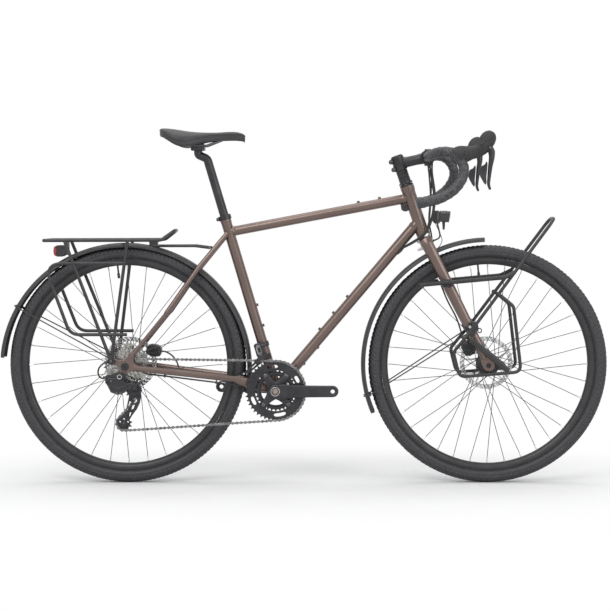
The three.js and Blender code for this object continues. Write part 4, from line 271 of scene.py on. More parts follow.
brushed("bronze_cap", (0.2, 0.165, 0.13), (0.36, 0.31, 0.26), (0.3, 0.42))
brushed("rotor_steel", (0.1, 0.1, 0.103), (0.3, 0.3, 0.305), (0.24, 0.4))
brushed("spoke_steel", (0.05, 0.05, 0.052), (0.1, 0.1, 0.105), (0.3, 0.42))
CAD_SLOTS = {part["node"]: part["material_slot"] for part in frame["record"]["subparts"]}
for cad_name, cad_object in frame["nodes"].items():
    cad_object.data.materials.clear()
    cad_object.data.materials.append(MATERIALS[CAD_SLOTS[cad_name]])


# Mesh building: every builder returns a list of points in millimetres and a list of faces
def joined(*meshes):
    points, faces = [], []
    for more_points, more_faces in meshes:
        start = len(points)
        points.extend(more_points)
        faces.extend([tuple(i + start for i in face) for face in more_faces])
    return points, faces


def skin(rows, count, closed=False):
    """Quads between neighbouring rings of points; a closed skin joins the last ring to the first."""
    faces = []
    for i in range(rows if closed else rows - 1):
        row, after = i * count, (i + 1) % rows * count
        for k in range(count):
            beside = (k + 1) % count
            faces.append((row + k, row + beside, after + beside, after + k))
    return faces


def tube_faces(rows, count):
    last = (rows - 1) * count
    return skin(rows, count) + [tuple(reversed(range(count))), tuple(range(last, last + count))]


def channel_faces(rows, half):
    """The skin of a channel whose rings run out along one face and back along the other, with both ends."""
    count = 2 * half
    last = (rows - 1) * count
    faces = skin(rows, count)
    for k in range(half - 1):
        far = count - 1 - k
        faces.append((k, far, far - 1, k + 1))
        faces.append((last + k, last + k + 1, last + far - 1, last + far))
    return faces


def sweep(path, radii, sides=20, across=ACROSS, turn=0.0):
    """A tube along a path; a radius is one number or one (across, upright) pair for each point."""
    path = [Vector(p) for p in path]
    points = []
    side = across.copy()
    for i, point in enumerate(path):
        before, after = path[max(i - 1, 0)], path[min(i + 1, len(path) - 1)]
        tangent = ((point - before).normalized() + (after - point).normalized()).normalized()
        side = (side - tangent * side.dot(tangent)).normalized()
        upright = tangent.cross(side)
        radius = radii[i] if isinstance(radii, list) else radii
        wide, tall = radius if isinstance(radius, tuple) else (radius, radius)
        for k in range(sides):
            angle = turn + TURN * k / sides
            points.append(point + side * wide * math.cos(angle) + upright * tall * math.sin(angle))
    return points, tube_faces(len(path), sides)


def corner_curve(before, corner, after, steps):
    """Points of a curve from before to after that bends toward the corner."""
    shares = [k / steps for k in range(steps + 1)]
    return [before * (1 - t) ** 2 + corner * 2 * t * (1 - t) + after * t ** 2 for t in shares]


def rounded(corners, bend, steps=8):
    """A path through corners, with a smooth curve of about this radius at each."""
    corners = [Vector(c) for c in corners]
    path = [corners[0]]
    for before, corner, after in zip(corners, corners[1:], corners[2:]):
        back, ahead = before - corner, after - corner
        trim = min(bend / math.tan(back.angle(ahead) / 2), back.length / 2, ahead.length / 2)
        path += corner_curve(corner + back.normalized() * trim, corner, corner + ahead.normalized() * trim,
                             steps)
    path.append(corners[-1])
    return path


def through(a, b, c, d, t):
    """A point of the smooth curve between b and c; a and d are their neighbours."""
    square = 2 * a - 5 * b + 4 * c - d
    cube = 3 * b - 3 * c + d - a
    return 0.5 * (2 * b + (c - a) * t + square * t * t + cube * t ** 3)


def smooth_path(points, steps=6):
    """A curve through every point."""
    points = [Vector(p) for p in points]
    ends = [points[0] * 2 - points[1]] + points + [points[-1] * 2 - points[-2]]
    path = []
    for a, b, c, d in zip(ends, ends[1:], ends[2:], ends[3:]):
        path += [through(a, b, c, d, k / steps) for k in range(steps)]
    path.append(points[-1])
    return path


def stretch(values, count):
    """Pairs spread evenly over a longer list."""
    out = []
    for k in range(count):
        reach = k * (len(values) - 1) / (count - 1)
        i = min(int(reach), len(values) - 2)
        out.append(tuple(x + (y - x) * (reach - i) for x, y in zip(values[i], values[i + 1])))
    return out


def turned(outline, segments=48, centre=Vector((0, 0, 0)), axis=ACROSS):
    """A body turned about an axis from a closed outline of [radius, along] pairs."""
    turn = ACROSS.rotation_difference(axis)
    points = []
    for k in range(segments):
        points += [centre + turn @ around(radius, TURN * k / segments, along) for radius, along in outline]
    return points, skin(segments, len(outline), closed=True)


def hoop(inner, outer, low, high, soft=0.5, depth=None):
    """The outline of a ring or a disc for turning, with softened outer edges unless soft is zero."""
    if not soft:
        return [(inner, low), (outer, low), (outer, high), (inner, high)]
    depth = soft if depth is None else depth
    return [(inner, low), (outer - soft, low), (outer, low + depth), (outer, high - depth),
            (outer - soft, high), (inner, high)]


def rod(start, end, radius, sides=16, rim=0.0):
    """A straight round rod; with a rim its ends are softened."""
    start, end = Vector(start), Vector(end)
    along = (end - start).normalized()
    across = FORWARD if abs(along.dot(ACROSS)) > 0.9 else ACROSS
    if not rim:
        return sweep([start, end], radius, sides, across)
    path = [start, start + along * rim, end - along * rim, end]
    return sweep(path, [radius - rim, radius, radius, radius - rim], sides, across)


def circle(centre, radius, count=24):
    return [spot(centre, radius, TURN * k / count) for k in range(count)]


def plate(outline, thickness, middle, holes=(), bevel=0.3, home=Vector((0, 0, 0)), scale=1):
    """A flat plate drawn in X and Z about a home point, with holes and softened edges."""
    curve = bpy.data.curves.new("plate", "CURVE")
    curve.dimensions = "2D"
    curve.fill_mode = "BOTH"
    curve.extrude = thickness / 2 - bevel
    curve.bevel_depth = bevel
    curve.bevel_resolution = 1
    curve.offset = -bevel
    outline = [(home.x + x * scale, home.z + z * scale) for x, z in outline]
    for ring in (outline, *holes):
        spline = curve.splines.new("POLY")
        spline.points.add(len(ring) - 1)
        for point, (x, z) in zip(spline.points, ring):
            point.co = (x, z, 0, 1)
        spline.use_cyclic_u = True
    holder = bpy.data.objects.new("plate", curve)
    bpy.context.scene.collection.objects.link(holder)
    graph = bpy.context.evaluated_depsgraph_get()
    mesh = bpy.data.meshes.new_from_object(holder.evaluated_get(graph))
    points = [at(v.co.x, middle - v.co.z, v.co.y) for v in mesh.vertices]
    faces = [tuple(face.vertices) for face in mesh.polygons]
    bpy.data.objects.remove(holder)
    bpy.data.curves.remove(curve)
    bpy.data.meshes.remove(mesh)
    return points, faces


def moved(mesh, matrix):
    points, faces = mesh
    return [matrix @ Vector(p) for p in points], faces


def new_piece(name, mesh, material):
    """A smooth piece in metres with its material."""
    points, faces = mesh
    data = bpy.data.meshes.new(name)
    data.from_pydata([metres(p) for p in points], [], faces)
    data.update()
    data.shade_smooth()
    data.materials.append(MATERIALS[material])
    piece = bpy.data.objects.new(name, data)
    bpy.context.scene.collection.objects.link(piece)
    return piece


def place(name, mesh, material, body, replaces=(), edge=40, uv=None):
    """Makes a piece, with edges sharper than an angle kept, and rides it on its body."""
    piece = new_piece(name, mesh, material)
    data = piece.data
    data.validate()
    data.set_sharp_from_angle(angle=edge * DEGREE)
    if uv:
        layer = data.uv_layers.new(name="map")
        for face in data.polygons:
            values = [uv[data.loops[i].vertex_index] for i in face.loop_indices]
            wrap = max(v[0] for v in values) - min(v[0] for v in values) > 0.5
            for i, (u, v) in zip(face.loop_indices, values):
                layer.data[i].uv = (u + 1 if wrap and u < 0.5 else u, v)
    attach(piece, body)
    if replaces:
        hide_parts(*replaces)
    return piece


def screw(centre, axis, radius=4.2, height=2.4):
    """A round-headed screw with a round recess."""
    recess = 0.42 * radius
    outline = [(recess, height * 0.35), (recess, height), (0.7 * radius, height),
               (radius * 0.94, height * 0.6), (radius, height * 0.15), (radius, -height * 0.4),
               (0, -height * 0.4), (0, height * 0.35)]
    return turned(outline, 24, Vector(centre), axis)


# Wheels
TYRE_TURNS = 660
TYRE_STEPS = 44
RIM_TURNS = 180
TREAD_BLOCKS = 165
TREAD_DEPTH = 2
TREAD_ROW = 0.055
TREAD_REACH = 0.3
TYRE_LIP = 62


def tread_height(turn_share, across_share):
    """How far the tread stands out: staggered blocks on the crown, longer ones on the shoulders."""
    reach = abs(across_share - 0.5)
    if reach > 0.27:
        return 0.0
    row = int(reach / TREAD_ROW)
    shift = 0.5 if row % 2 else 0.0
    along = (turn_share * TREAD_BLOCKS + shift + (0.25 if across_share > 0.5 else 0)) % 1
    gap_along = 0.3 if row < 3 else 0.42
    between_rows = (reach / TREAD_ROW) % 1 > 0.84 and row < 4
    return 0 if along < gap_along or between_rows else TREAD_DEPTH


def tyre_mesh():
    height = WHEEL_RADIUS - RIM_OUTER
    middle = RIM_OUTER + height * 0.5
    bead = (RIM_OUTER + 0.3, RIM_WIDTH / 2 - 2)
    outline = [bead]
    for k in range(TYRE_STEPS + 1):
        angle = ((180 + 2 * TYRE_LIP) * k / TYRE_STEPS - TYRE_LIP) * DEGREE
        outline.append((middle + height * 0.5 * math.sin(angle), TYRE_WIDTH / 2 * math.cos(angle)))
    outline.append((bead[0], -bead[1]))
    points, uv = [], []
    for i in range(TYRE_TURNS):
        share = i / TYRE_TURNS
        for j, (radius, y) in enumerate(outline):
            across = j / (len(outline) - 1)
            beyond = abs(across - 0.5) - TREAD_REACH
            pull = TREAD_DEPTH * max(0, 1 - beyond / 0.05)
            if beyond < 0:
                pull = TREAD_DEPTH - tread_height(share, across)
            out = radius - middle
            pull /= max(math.hypot(out, y), 1)
            points.append(REAR_HUB + around(radius - out * pull, TURN * share, y - y * pull))
            uv.append((share, across))
    return (points, skin(TYRE_TURNS, len(outline), closed=True)), uv


def rim_mesh():
    half = RIM_WIDTH / 2
    outline = [(RIM_INNER, -3.4), (RIM_INNER + 0.7, -5.4), (RIM_INNER + 5, -9.6),
               (RIM_INNER + 9, 0.6 - half), (RIM_OUTER - 5, -half), (RIM_OUTER - 0.6, -half),
               (RIM_OUTER, 0.8 - half), (RIM_OUTER, 2.2 - half)]
    outline += [(radius, -y) for radius, y in reversed(outline)]
    valve = joined(rod((RIM_INNER + 4, 0, 0), (RIM_INNER - 24, 0, 0), 2.8, 12, 0.6),
                   rod((RIM_INNER - 22, 0, 0), (RIM_INNER - 38, 0, 0), 4.2, 12, 1.4))
    turn = Matrix.Translation(REAR_HUB) @ Matrix.Rotation(-95.6 * DEGREE, 4, "Y")
    return joined(turned(outline, RIM_TURNS, REAR_HUB), moved(valve, turn))


HUBS = {
    "front": {"flange": 33, "thick": 3, "barrel": 25, "right": -33, "left": 21, "end": -45, "rotor": 39.5,
              "spokes": 36, "lead": 2},
    "rear": {"flange": 29, "thick": 3, "barrel": 17, "right": -15.5, "left": 33, "end": -18.5, "rotor": 56,
             "spokes": 32, "lead": 3},
}


def spoke_set(hub, centre):
    spokes, nipples = [], []
    for index in range(hub["spokes"]):
        side = "right" if index % 2 == 0 else "left"
        leading = 1 if (index + hub["lead"]) % 4 < 2 else -1
        rim_angle = TURN * index / hub["spokes"]
        y = hub[side] + leading * (hub["thick"] * 0.5 + 0.6)
        head = around(hub["flange"] - 3.5, rim_angle + leading * 62 * DEGREE, hub[side] - leading * 2.2)
        bend = at(head.x, y, head.z)
        end = around(RIM_INNER - 9, rim_angle, y * 0.12)
        rim = around(RIM_INNER + 0.6, rim_angle, y * 0.1)
        path = [centre + p for p in (head, bend, bend.lerp(end, 0.04), end)]
        spokes.append(sweep(path, 1.0, 8, FORWARD))
        nipple = [centre + p for p in (end.lerp(rim, -0.35), end.lerp(rim, 0.1), rim)]
        nipples.append(sweep(nipple, [1.5, 2.0, 2.0], 8, FORWARD))
    return joined(*spokes), joined(*nipples)


def hub_mesh(hub, centre):
    """The hub shell from its chain side to its rotor side, with a flange at each end of the waist."""
    flange, barrel, half, rotor_face = hub["flange"], hub["barrel"], hub["thick"] / 2, hub["rotor"] - 1.2
    outline = [(6.5, hub["end"]), (barrel - 1, hub["end"]), (barrel, hub["end"] + 1)]
    for y, way in ((hub["right"], 1), (hub["left"], -1)):
        part = [(barrel, y - way * (half + 1.5)), (flange - 1, y - way * half),
                (flange, y - way * (half - 0.8)), (flange, y + way * (half - 0.8)),
                (flange - 1, y + way * half), (barrel + 3, y + way * 2.6 * half),
                (barrel * 0.8, y + way * 7 * half)]
        outline += part[::way]
    return turned(outline + [(barrel, rotor_face), (6.5, rotor_face)], 56, centre)


def rotor_mesh(centre, y):
    """A brake rotor: a drilled and scalloped band on curved arms."""
    outer, inner, thick = 80, 66, 1.8
    scallops, steps = 18, 8
    ring = []
    for k in range(scallops * steps):
        angle = TURN * k / (scallops * steps)
        ring.append(spot(centre, outer - 1.1 * (1 - math.cos(scallops * angle)) / 2, angle))
    holes = [circle(centre, inner, 96)]
    for k in range(36):
        for radius, shift in ((69.6, 0), (73.4, 2.4), (76.8, 5)):
            hole_at = centre + around(radius, TURN * k / 36 + shift * DEGREE)
            holes.append(circle(hole_at, 1.75, 8))
    band = plate(ring, thick, y, holes, bevel=0.15)
    arms = []
    for k in range(5):
        path = []
        for step in range(9):
            share = step / 8
            angle = TURN * k / 5 + 26 * DEGREE * share + 9 * DEGREE * math.sin(math.pi * share)
            path.append(centre + around(19 + (inner + 1 - 19) * share, angle, y))
        arms.append(sweep(path, [(thick / 2, 3.6)] * 9, 4, turn=45 * DEGREE))
    carrier = plate(circle(centre, 24, 48), thick, y, [circle(centre, 10.5, 32)], bevel=0.2)
    lock = [(10.6, 0.9), (15, 0.9), (15.6, 1.4), (15.6, 4.2), (14.6, 5), (10.6, 5)]
    return joined(band, carrier, *arms), turned(lock, 40, centre + ACROSS * y)


for end, centre in (("rear", REAR_HUB), ("front", FRONT_HUB)):
    shift = Matrix.Translation(centre - REAR_HUB)
    body = end + "_wheel"
    hub = HUBS[end]
    tyre, tyre_uv = tyre_mesh()
    place(end + "_tyre_tread", moved(tyre, shift), "tyre_rubber", body, [end + "_tyre"], edge=60,
          uv=tyre_uv)
    place(end + "_rim_ring", moved(rim_mesh(), shift), "satin_black", body, [end + "_rim"])
    spokes, nipples = spoke_set(hub, centre)
    place(end + "_spokes", spokes, "spoke_steel", body, [end + "_hub"], edge=60)
    place(end + "_nipples", nipples, "bright_steel", body)
    place(end + "_hub_shell", hub_mesh(hub, centre), "black_alloy", body, edge=30)
    rotor, lock = rotor_mesh(centre, hub["rotor"])
    place(end + "_rotor_plate", rotor, "bright_steel", body, [end + "_rotor"], edge=30)
    place(end + "_rotor_lock", lock, "black_alloy", body)

# Frame: tubes, lugs of weld, bosses and their screws
HEAD_LOW = 428.6
HEAD_HIGH = HEAD_LOW + 152
TOP_ENDS = [on_seat(491.6), on_head(HEAD_HIGH - 36)]
DOWN_ENDS = [BRACKET, on_head(HEAD_LOW + 42)]
SEAT_ENDS = [BRACKET, on_seat(542)]
TOP_RADIUS, DOWN_RADIUS, SEAT_RADIUS = 14.3, 16, 15.8
DROPOUT_MIDDLE = 74.5
SEAT_STAY = [(0.055, 0.07, 1), (0.4, 0.395, 0.83), (0.71, 0.735, 0.53), (0.985, 0.99, 0.22)]
CHAIN_STAY = [(0.055, 0.06, 1), (0.74, 0.55, 0.56), (0.855, 0.78, 0.44), (0.985, 0.985, 0.3)]
WELD_SWELL = (1.18, 1.09, 1.036, 1.02, 0.99)
WELD_REACH = 9


def stay_path(shares, end, side):
    return [at(end.x * f, side * DROPOUT_MIDDLE * s, REAR_HUB.z + (end.z - REAR_HUB.z) * u)
            for f, u, s in shares]


def fillet(start, toward, inset, radius):
    """A short flare of weld, set in from the start of a tube."""
    along = (toward - start).normalized()
    path = [start + along * (inset + WELD_REACH * k / 4) for k in range(5)]
    return sweep(path, [radius * swell for swell in WELD_SWELL], 36)


def perpendicular(ends, sign):
    along = (ends[1] - ends[0]).normalized()
    return at(-along.z * sign, 0, along.x * sign)


def boss_with_screw(ends, share, tube_radius, sign):
    out = perpendicular(ends, sign)
    foot = ends[0].lerp(ends[1], share)
    rise = 3 if ends is not DOWN_ENDS or sign > 0 else 1
    heights = (tube_radius - 2.2, tube_radius + 0.2 * rise, tube_radius + rise)
    boss = sweep([foot + out * height for height in heights], [5.6, 4.6, 4.2], 20)
    return boss, screw(foot + out * heights[-1], out, 4.4, 0.8 + 0.5 * rise)


def dropout_outline():
    shares = [(-0.3, -0.26), (-0.13, -0.37), (0.22, -0.35), (0.78, -0.3), (0.84, 0.05), (0.52, 0.3),
              (0.62, 0.86), (0.3, 0.95), (0.08, 0.48), (-0.26, 0.4), (-0.74, 0.52), (-1, 0.4), (-1, 0.18),
              (-0.74, 0.08), (-0.35, 0.08)]
    corners = [at(x * 46, 0, z * 46) for x, z in shares]
    path = []
    for i, corner in enumerate(corners):
        before, after = corners[i - 1], corners[(i + 1) % len(corners)]
        path += corner_curve(corner.lerp(before, 0.3), corner, corner.lerp(after, 0.3), 4)
    return [(point.x, point.z) for point in path]


head_rings = [0, 10, 16, 20, 132, 136, 142, 152]
frame_pieces = [sweep([on_head(HEAD_LOW + h) for h in head_rings], [20.9, 20.9, 20, 19, 19, 20, 20.9, 20.9],
                      48),
                sweep(TOP_ENDS, TOP_RADIUS, 40), sweep(DOWN_ENDS, DOWN_RADIUS, 40),
                sweep([SEAT_ENDS[0], *map(on_seat, (518, 521, 541, 542))], [15.8, 15.8, 16.6, 16.6, 16.2],
                      40),
                turned(hoop(17.4, 20, -34, 34, 0.4, 0.6), 48, BRACKET),
                fillet(TOP_ENDS[0], TOP_ENDS[1], 13, TOP_RADIUS),
                fillet(TOP_ENDS[1], TOP_ENDS[0], 18, TOP_RADIUS),
                fillet(DOWN_ENDS[0], DOWN_ENDS[1], 17, DOWN_RADIUS),
                fillet(DOWN_ENDS[1], DOWN_ENDS[0], 20, DOWN_RADIUS), fillet(*SEAT_ENDS, 17, SEAT_RADIUS)]
BOSS_PITCH = 64
BOSS_ROWS = [(DOWN_ENDS, 0.337, 3, DOWN_RADIUS, 1), (DOWN_ENDS, 0.17, 2, DOWN_RADIUS, -1),
             (SEAT_ENDS, 0.36, 2, SEAT_RADIUS, -1), (TOP_ENDS, 0.717, 2, TOP_RADIUS, 1)]
frame_screws = []
for ends, first, count, tube_radius, sign in BOSS_ROWS:
    pitch_share = BOSS_PITCH / (ends[1] - ends[0]).length
    for row in range(count):
        boss, boss_screw = boss_with_screw(ends, first + row * pitch_share, tube_radius, sign)
        frame_pieces.append(boss)
        frame_screws.append(boss_screw)
for side in (-1, 1):
    chain_path = rounded(stay_path(CHAIN_STAY, BRACKET, side), 60)
    shares = [k / (len(chain_path) - 1) for k in range(len(chain_path))]
    chain_radii = [(7.5 - 0.6 * abs(2 * t - 0.9), 9 + 5.5 * min(t * 2.2, 1)) for t in shares]
    seat_path = rounded(stay_path(SEAT_STAY, TOP_ENDS[0], side), 160)
    seat_radii = [5.6 + 2 * min(3 * k / (len(seat_path) - 1), 1) for k in range(len(seat_path))]
    frame_pieces += [sweep(chain_path, chain_radii, 32), sweep(seat_path, seat_radii, 28),
                     plate(dropout_outline(), 7, side * DROPOUT_MIDDLE, [circle(REAR_HUB, 6.4, 32)], 0.9,
                           REAR_HUB)]
hanger = [(-23, 327), (-22.4, 322.4), (-19, 319), (-14, 318.2), (-9, 319.4), (-5.4, 323), (-4.6, 329),
          (1, 338), (5.6, 345.6), (-2, 346.4), (-8.4, 347.4)]
frame_pieces.append(plate(hanger, 6, -DROPOUT_MIDDLE, bevel=0.9))
chain_bridge = at(445.3 * 0.865, 34, REAR_HUB.z - 74.8 * 0.71)
left_stay = rounded(stay_path(SEAT_STAY, TOP_ENDS[0], 1), 160)
lengths = [0]
for a, b in zip(left_stay, left_stay[1:]):
    lengths.append(lengths[-1] + (b - a).length)
seat_bridge = left_stay[next(i for i, length in enumerate(lengths) if length >= lengths[-1] * 0.745)]
for bridge in (chain_bridge, seat_bridge):
    frame_pieces.append(sweep([at(bridge.x, -bridge.y, bridge.z), bridge], 6, 24, FORWARD))
place("frame_tubes", joined(*frame_pieces), "bronze_paint", "frame", ["frame"], edge=38)
place("frame_screws", joined(*frame_screws), "black_alloy", "frame")

# Seat collar with its bolt
collar_low = on_seat(528)
collar = turned([(16.4, 0), (18.6, 0), (19.2, 0.6), (19.2, 13.4), (18.6, 14), (14, 14), (14, 12.8),
                 (16.4, 12.8)],
                48, collar_low + SEAT_DIRECTION * 1.4, SEAT_DIRECTION)
collar_back = at(-SEAT_DIRECTION.z, 0, SEAT_DIRECTION.x)
ear = [collar_low + SEAT_DIRECTION * 8.5 + collar_back * 21 + ACROSS * y for y in (-9, 9)]
place("seat_collar", joined(collar, rod(*ear, 5.4, 24, 0.6)), "black_alloy", "frame")
place("seat_collar_bolt", screw(ear[0], -ACROSS, 4.1, 2), "dark_steel", "frame")

# Fork
CROWN = on_head(408)
crown_bolt = [rod(on_head(404) - FORWARD * 12, on_head(404) - FORWARD * 27, 3.4, 20, 0.6),
              plate([(866, 697), (873, 703), (886, 708), (886, 698), (874, 694)], 9, 0, bevel=0.8)]
place("crown_bolt", joined(*crown_bolt), "bright_steel", "steering")
FORK_END_Y = 53
BLADE_FOOT = FRONT_HUB + at(-9.9, 0, 22)
ALONG_BLADE = (BLADE_FOOT - CROWN).normalized()
BLADE_ACROSS = FORWARD.cross(ALONG_BLADE) * -1
FORK_END = [(-0.55, -0.2), (-0.42, -0.42), (-0.2, -0.55), (0.1, -0.6), (0.34, -0.52), (0.54, -0.3),
            (0.6, -0.1), (0.57, 0.2), (0.45, 0.5), (0.2, 0.85), (0, 1.1), (-0.75, 1.1), (-0.82, 0.8),
            (-0.8, 0.5), (-0.7, 0.1)]
fork_pieces = [sweep([on_head(395), on_head(400), on_head(416), on_head(421)], [17.5, 19, 19, 18.4], 44)]
fork_screws = []
for side in (-1, 1):
    out = ACROSS * side
    blade_foot = BLADE_FOOT + out * FORK_END_Y
    corners = [CROWN + ALONG_BLADE * drop + out * spread
               for drop, spread in ((0, 12), (10, 33), (34, 41.5))]
    path = smooth_path([*corners, blade_foot], 8)
    reach = [(p - path[0]).length for p in path]
    shares = [max(0, (distance - 30) / (reach[-1] - 30)) for distance in reach]
    fork_pieces.append(sweep(path, [(12 - 2.5 * t, 17 - 4.5 * t) for t in shares], 36, BLADE_ACROSS))
    fork_pieces.append(plate(FORK_END, 6, side * FORK_END_Y, [circle(FRONT_HUB, 6.4, 32)], 0.9, FRONT_HUB,
                             30))
    for share in (0.3, 0.5, 0.62):
        centre = blade_foot.lerp(path[9], share)
        wide = 9.5 + 2.5 * share
        fork_pieces.append(rod(centre + out * (wide - 3), centre + out * (wide + 1.6), 4.6, 20, 0.4))
        fork_screws.append(screw(centre + out * (wide + 1.6), out, 3.6, 1.4))
place("fork_body", joined(*fork_pieces), "bronze_paint", "steering", ["fork"], edge=38)
place("steerer_tube", sweep([on_head(412), on_head(668)], 14.2, 40), "dark_steel", "steering")
place("fork_screws", joined(*fork_screws), "black_alloy", "steering")

# Headset, spacers, stem and face plate
CUP_TOP = HEAD_HIGH + 7.3
SPACER_LOW = CUP_TOP + 0.3
STEM_LOW = SPACER_LOW + 42.3
STEM_HIGH = STEM_LOW + 42
stem_middle = on_head(STEM_LOW + 21)
BAR = stem_middle + around(86, 12 * DEGREE)


def on_steerer(outline, height, segments=56):
    return turned(outline, segments, on_head(height), HEAD_DIRECTION)


upper_cup = [(14.8, -8), (16.2, -8), (16.2, 0.4), (20.2, 0.4), (20.8, 1), (20.8, 3), (19, 3.4), (20.2, 4),
             (19.4, 6.2), (17, 7.2), (14.8, 7.2)]
lower_cup = [(14.8, 8), (16.2, 8), (16.2, 0.4), (20.8, 0.2), (21.6, -0.6), (21.6, -3.6), (20.6, -4),
             (20.4, -4), (20.4, -6.4), (19.6, -7), (14.8, -7)]
place("upper_headset", on_steerer(upper_cup, HEAD_HIGH), "black_alloy", "frame", ["headset_upper_cup"],
      edge=30)
place("lower_headset", on_steerer(lower_cup, HEAD_LOW), "bright_steel", "frame", ["headset_lower_cup"],
      edge=30)
spacers = [on_steerer(hoop(14.7, 17, low + 0.1, high - 0.1), SPACER_LOW)
           for low, high in ((0, 20), (20, 30), (30, 42))]
spacers.append(on_steerer([(14.7, -0.1), (20.4, -0.1), (20.9, 0.4), (20.9, 3.4), (19.6, 5), (14.7, 5.4)],
                          CUP_TOP + 0.4))
for height in (9, 13, 17, 33, 37):
    groove = [(16.6, height - 0.7), (17.6, height - 0.5), (17.6, height + 0.5), (16.6, height + 0.7)]
    spacers.append(on_steerer(groove, SPACER_LOW))
place("column_spacers", joined(*spacers), "black_alloy", "steering", ["headset_spacers"], edge=30)

steerer_clamp = on_steerer([(14.5, 0), (18.4, 0), (19.2, 0.8), (19.4, 6), (19.4, 36), (19.2, 41.2),
                            (18.4, 42), (14.5, 42)], STEM_LOW)
stem_body = sweep([stem_middle.lerp(BAR, t) for t in (0.12, 0.3, 0.6, 0.8)],
                  [(15, 18), (14.4, 15.5), (14.6, 15), (18, 16.5)], 40)
clamp_points, clamp_faces = turned(hoop(16.2, 22, -22, 22, 1), 72, BAR)
rear_faces, front_faces = [], []
for face in clamp_faces:
    from_bar = sum(clamp_points[i].x for i in face) / len(face) - BAR.x
    if abs(from_bar) > 0.2:
        (front_faces if from_bar > 0 else rear_faces).append(face)
stem_rear = at(-HEAD_DIRECTION.z, 0, HEAD_DIRECTION.x)
clamp_lugs, stem_screws = [], []
for rise in (-12, 12):
    lug = [stem_middle + HEAD_DIRECTION * rise + stem_rear * 21 + ACROSS * y for y in (-15, 15)]
    clamp_lugs.append(sweep(lug, 7, 24, FORWARD))
    stem_screws.append(screw(lug[0], -ACROSS, 5, 1.8))
place("stem_body", joined(steerer_clamp, stem_body, (clamp_points, rear_faces), *clamp_lugs), "black_alloy",
      "steering", ["stem"], edge=35)
face_lugs = []
for out in (-15, 15):
    for rise in (-20, 20):
        centre = BAR + at(0, out, rise)
        face_lugs += [rod(centre + FORWARD * low, centre + FORWARD * high, 4.8, 20, 0.6)
                      for low, high in ((0.6, 10), (-8, -0.6))]
        stem_screws.append(screw(centre + FORWARD * 10, FORWARD, 3.8, 1.4))
place("stem_face", joined((clamp_points, front_faces), *face_lugs), "black_alloy", "steering",
      ["stem_faceplate"], edge=35)
place("stem_screws", joined(*stem_screws), "dark_steel", "steering")
cap = [(0, 4.2), (3.4, 4.2), (3.4, 2.4), (5.6, 2.4), (5.6, 4.6), (14.5, 4.4), (17, 3), (17.6, 0.2),
       (0, 0.2)]
place("stem_cap", on_steerer(cap, STEM_HIGH), "black_alloy", "steering", edge=30)
place("stem_cap_bolt", screw(on_head(STEM_HIGH + 3.4), HEAD_DIRECTION, 6, 2), "bright_steel", "steering")
stop_block = plate([(818, 834), (836, 834.5), (843, 816), (836, 812), (828, 812.6), (821, 817)], 13, 0,
                   bevel=2)
place("cable_stop", joined(stop_block, screw((829, -6.4, 822), -ACROSS, 4.4, 2)), "black_plastic", "frame")

# Drop bar and its wound tape
BAR_SHARES = [(0, 0.26, 0), (0.06, 0.55, 0.4), (0.3, 0.79, 1), (0.62, 0.87, 0.8), (0.87, 0.895, -0.9),
              (1, 0.915, -3.6), (0.95, 0.94, -6.6), (0.7, 0.965, -9.8), (0.31, 0.98, -12.1),
              (-0.02, 0.99, -13), (-0.39, 1, -13.6)]
BAR_REACH = 93
BAR_HALF = 238


def bar_points(side):
    return [BAR + at(BAR_REACH * f, side * BAR_HALF * out, 10 * rise) for f, out, rise in BAR_SHARES]


def resampled(path, step):
    """The same path in points one step apart, and its last point."""
    out, carry = [path[0]], 0.0
    for a, b in zip(path, path[1:]):
        length = (b - a).length
        along = step - carry
        while along <= length:
            out.append(a.lerp(b, along / length))
            along += step
        carry = length - (along - step)
    out.append(path[-1])
    return out


bar_line = [*reversed(smooth_path(bar_points(-1), 8)),
            *[BAR + ACROSS * y for y in (-39, -32, -27, 27, 32, 39)], *smooth_path(bar_points(1), 8)]
bar_radii = [15.9 if abs(p.y) <= 27.5 else 11.9 + 4 * max(0, (39 - abs(p.y)) / 11.5) for p in bar_line]
place("bar_tube", sweep(bar_line, bar_radii, 32, FORWARD), "black_alloy", "steering", ["handlebar"])
TAPE_PITCH = 19
TAPE_SIDES = 40


def wound_tape(side):
    """Tape wound in overlapping turns: each turn thins toward its covered edge."""
    path = resampled(smooth_path(bar_points(side), 14), 1.6)[4:]
    points = []
    across = FORWARD.copy()
    length = 0
    for i, point in enumerate(path):
        before, after = path[max(i - 1, 0)], path[min(i + 1, len(path) - 1)]
        length += (point - before).length
        tangent = (after - before).normalized()
        across = (across - tangent * across.dot(tangent)).normalized()
        upright = tangent.cross(across)
        end_swell = 2.2 * max(0, 1 - (len(path) - 1 - i) / 16)
        for k in range(TAPE_SIDES):
            angle = TURN * k / TAPE_SIDES
            phase = (length / TAPE_PITCH + side * k / TAPE_SIDES) % 1
            lap = 1.7 * min(phase / 0.1, 1) * (1 - 0.8 * phase)
            radius = 13.7 + lap + end_swell if i else 12.4
            points.append(point + (across * math.cos(angle) + upright * math.sin(angle)) * radius)
    ahead = (path[-1] - path[-2]).normalized()
    plug = [(0, 5.4), (12, 5.2), (15.4, 4), (16.8, 1.6), (16.8, -1.6), (15.6, -2.4), (0, -2.4)]
    return (points, tube_faces(len(path), TAPE_SIDES)), turned(plug, 40, path[-1], ahead)


for name, side in SIDES.items():
    tape, plug = wound_tape(side)
    place("wound_tape_" + name, tape, "bar_tape", "steering", ["bar_tape_" + name], edge=50)
    place("bar_plug_" + name, plug, "black_plastic", "steering")

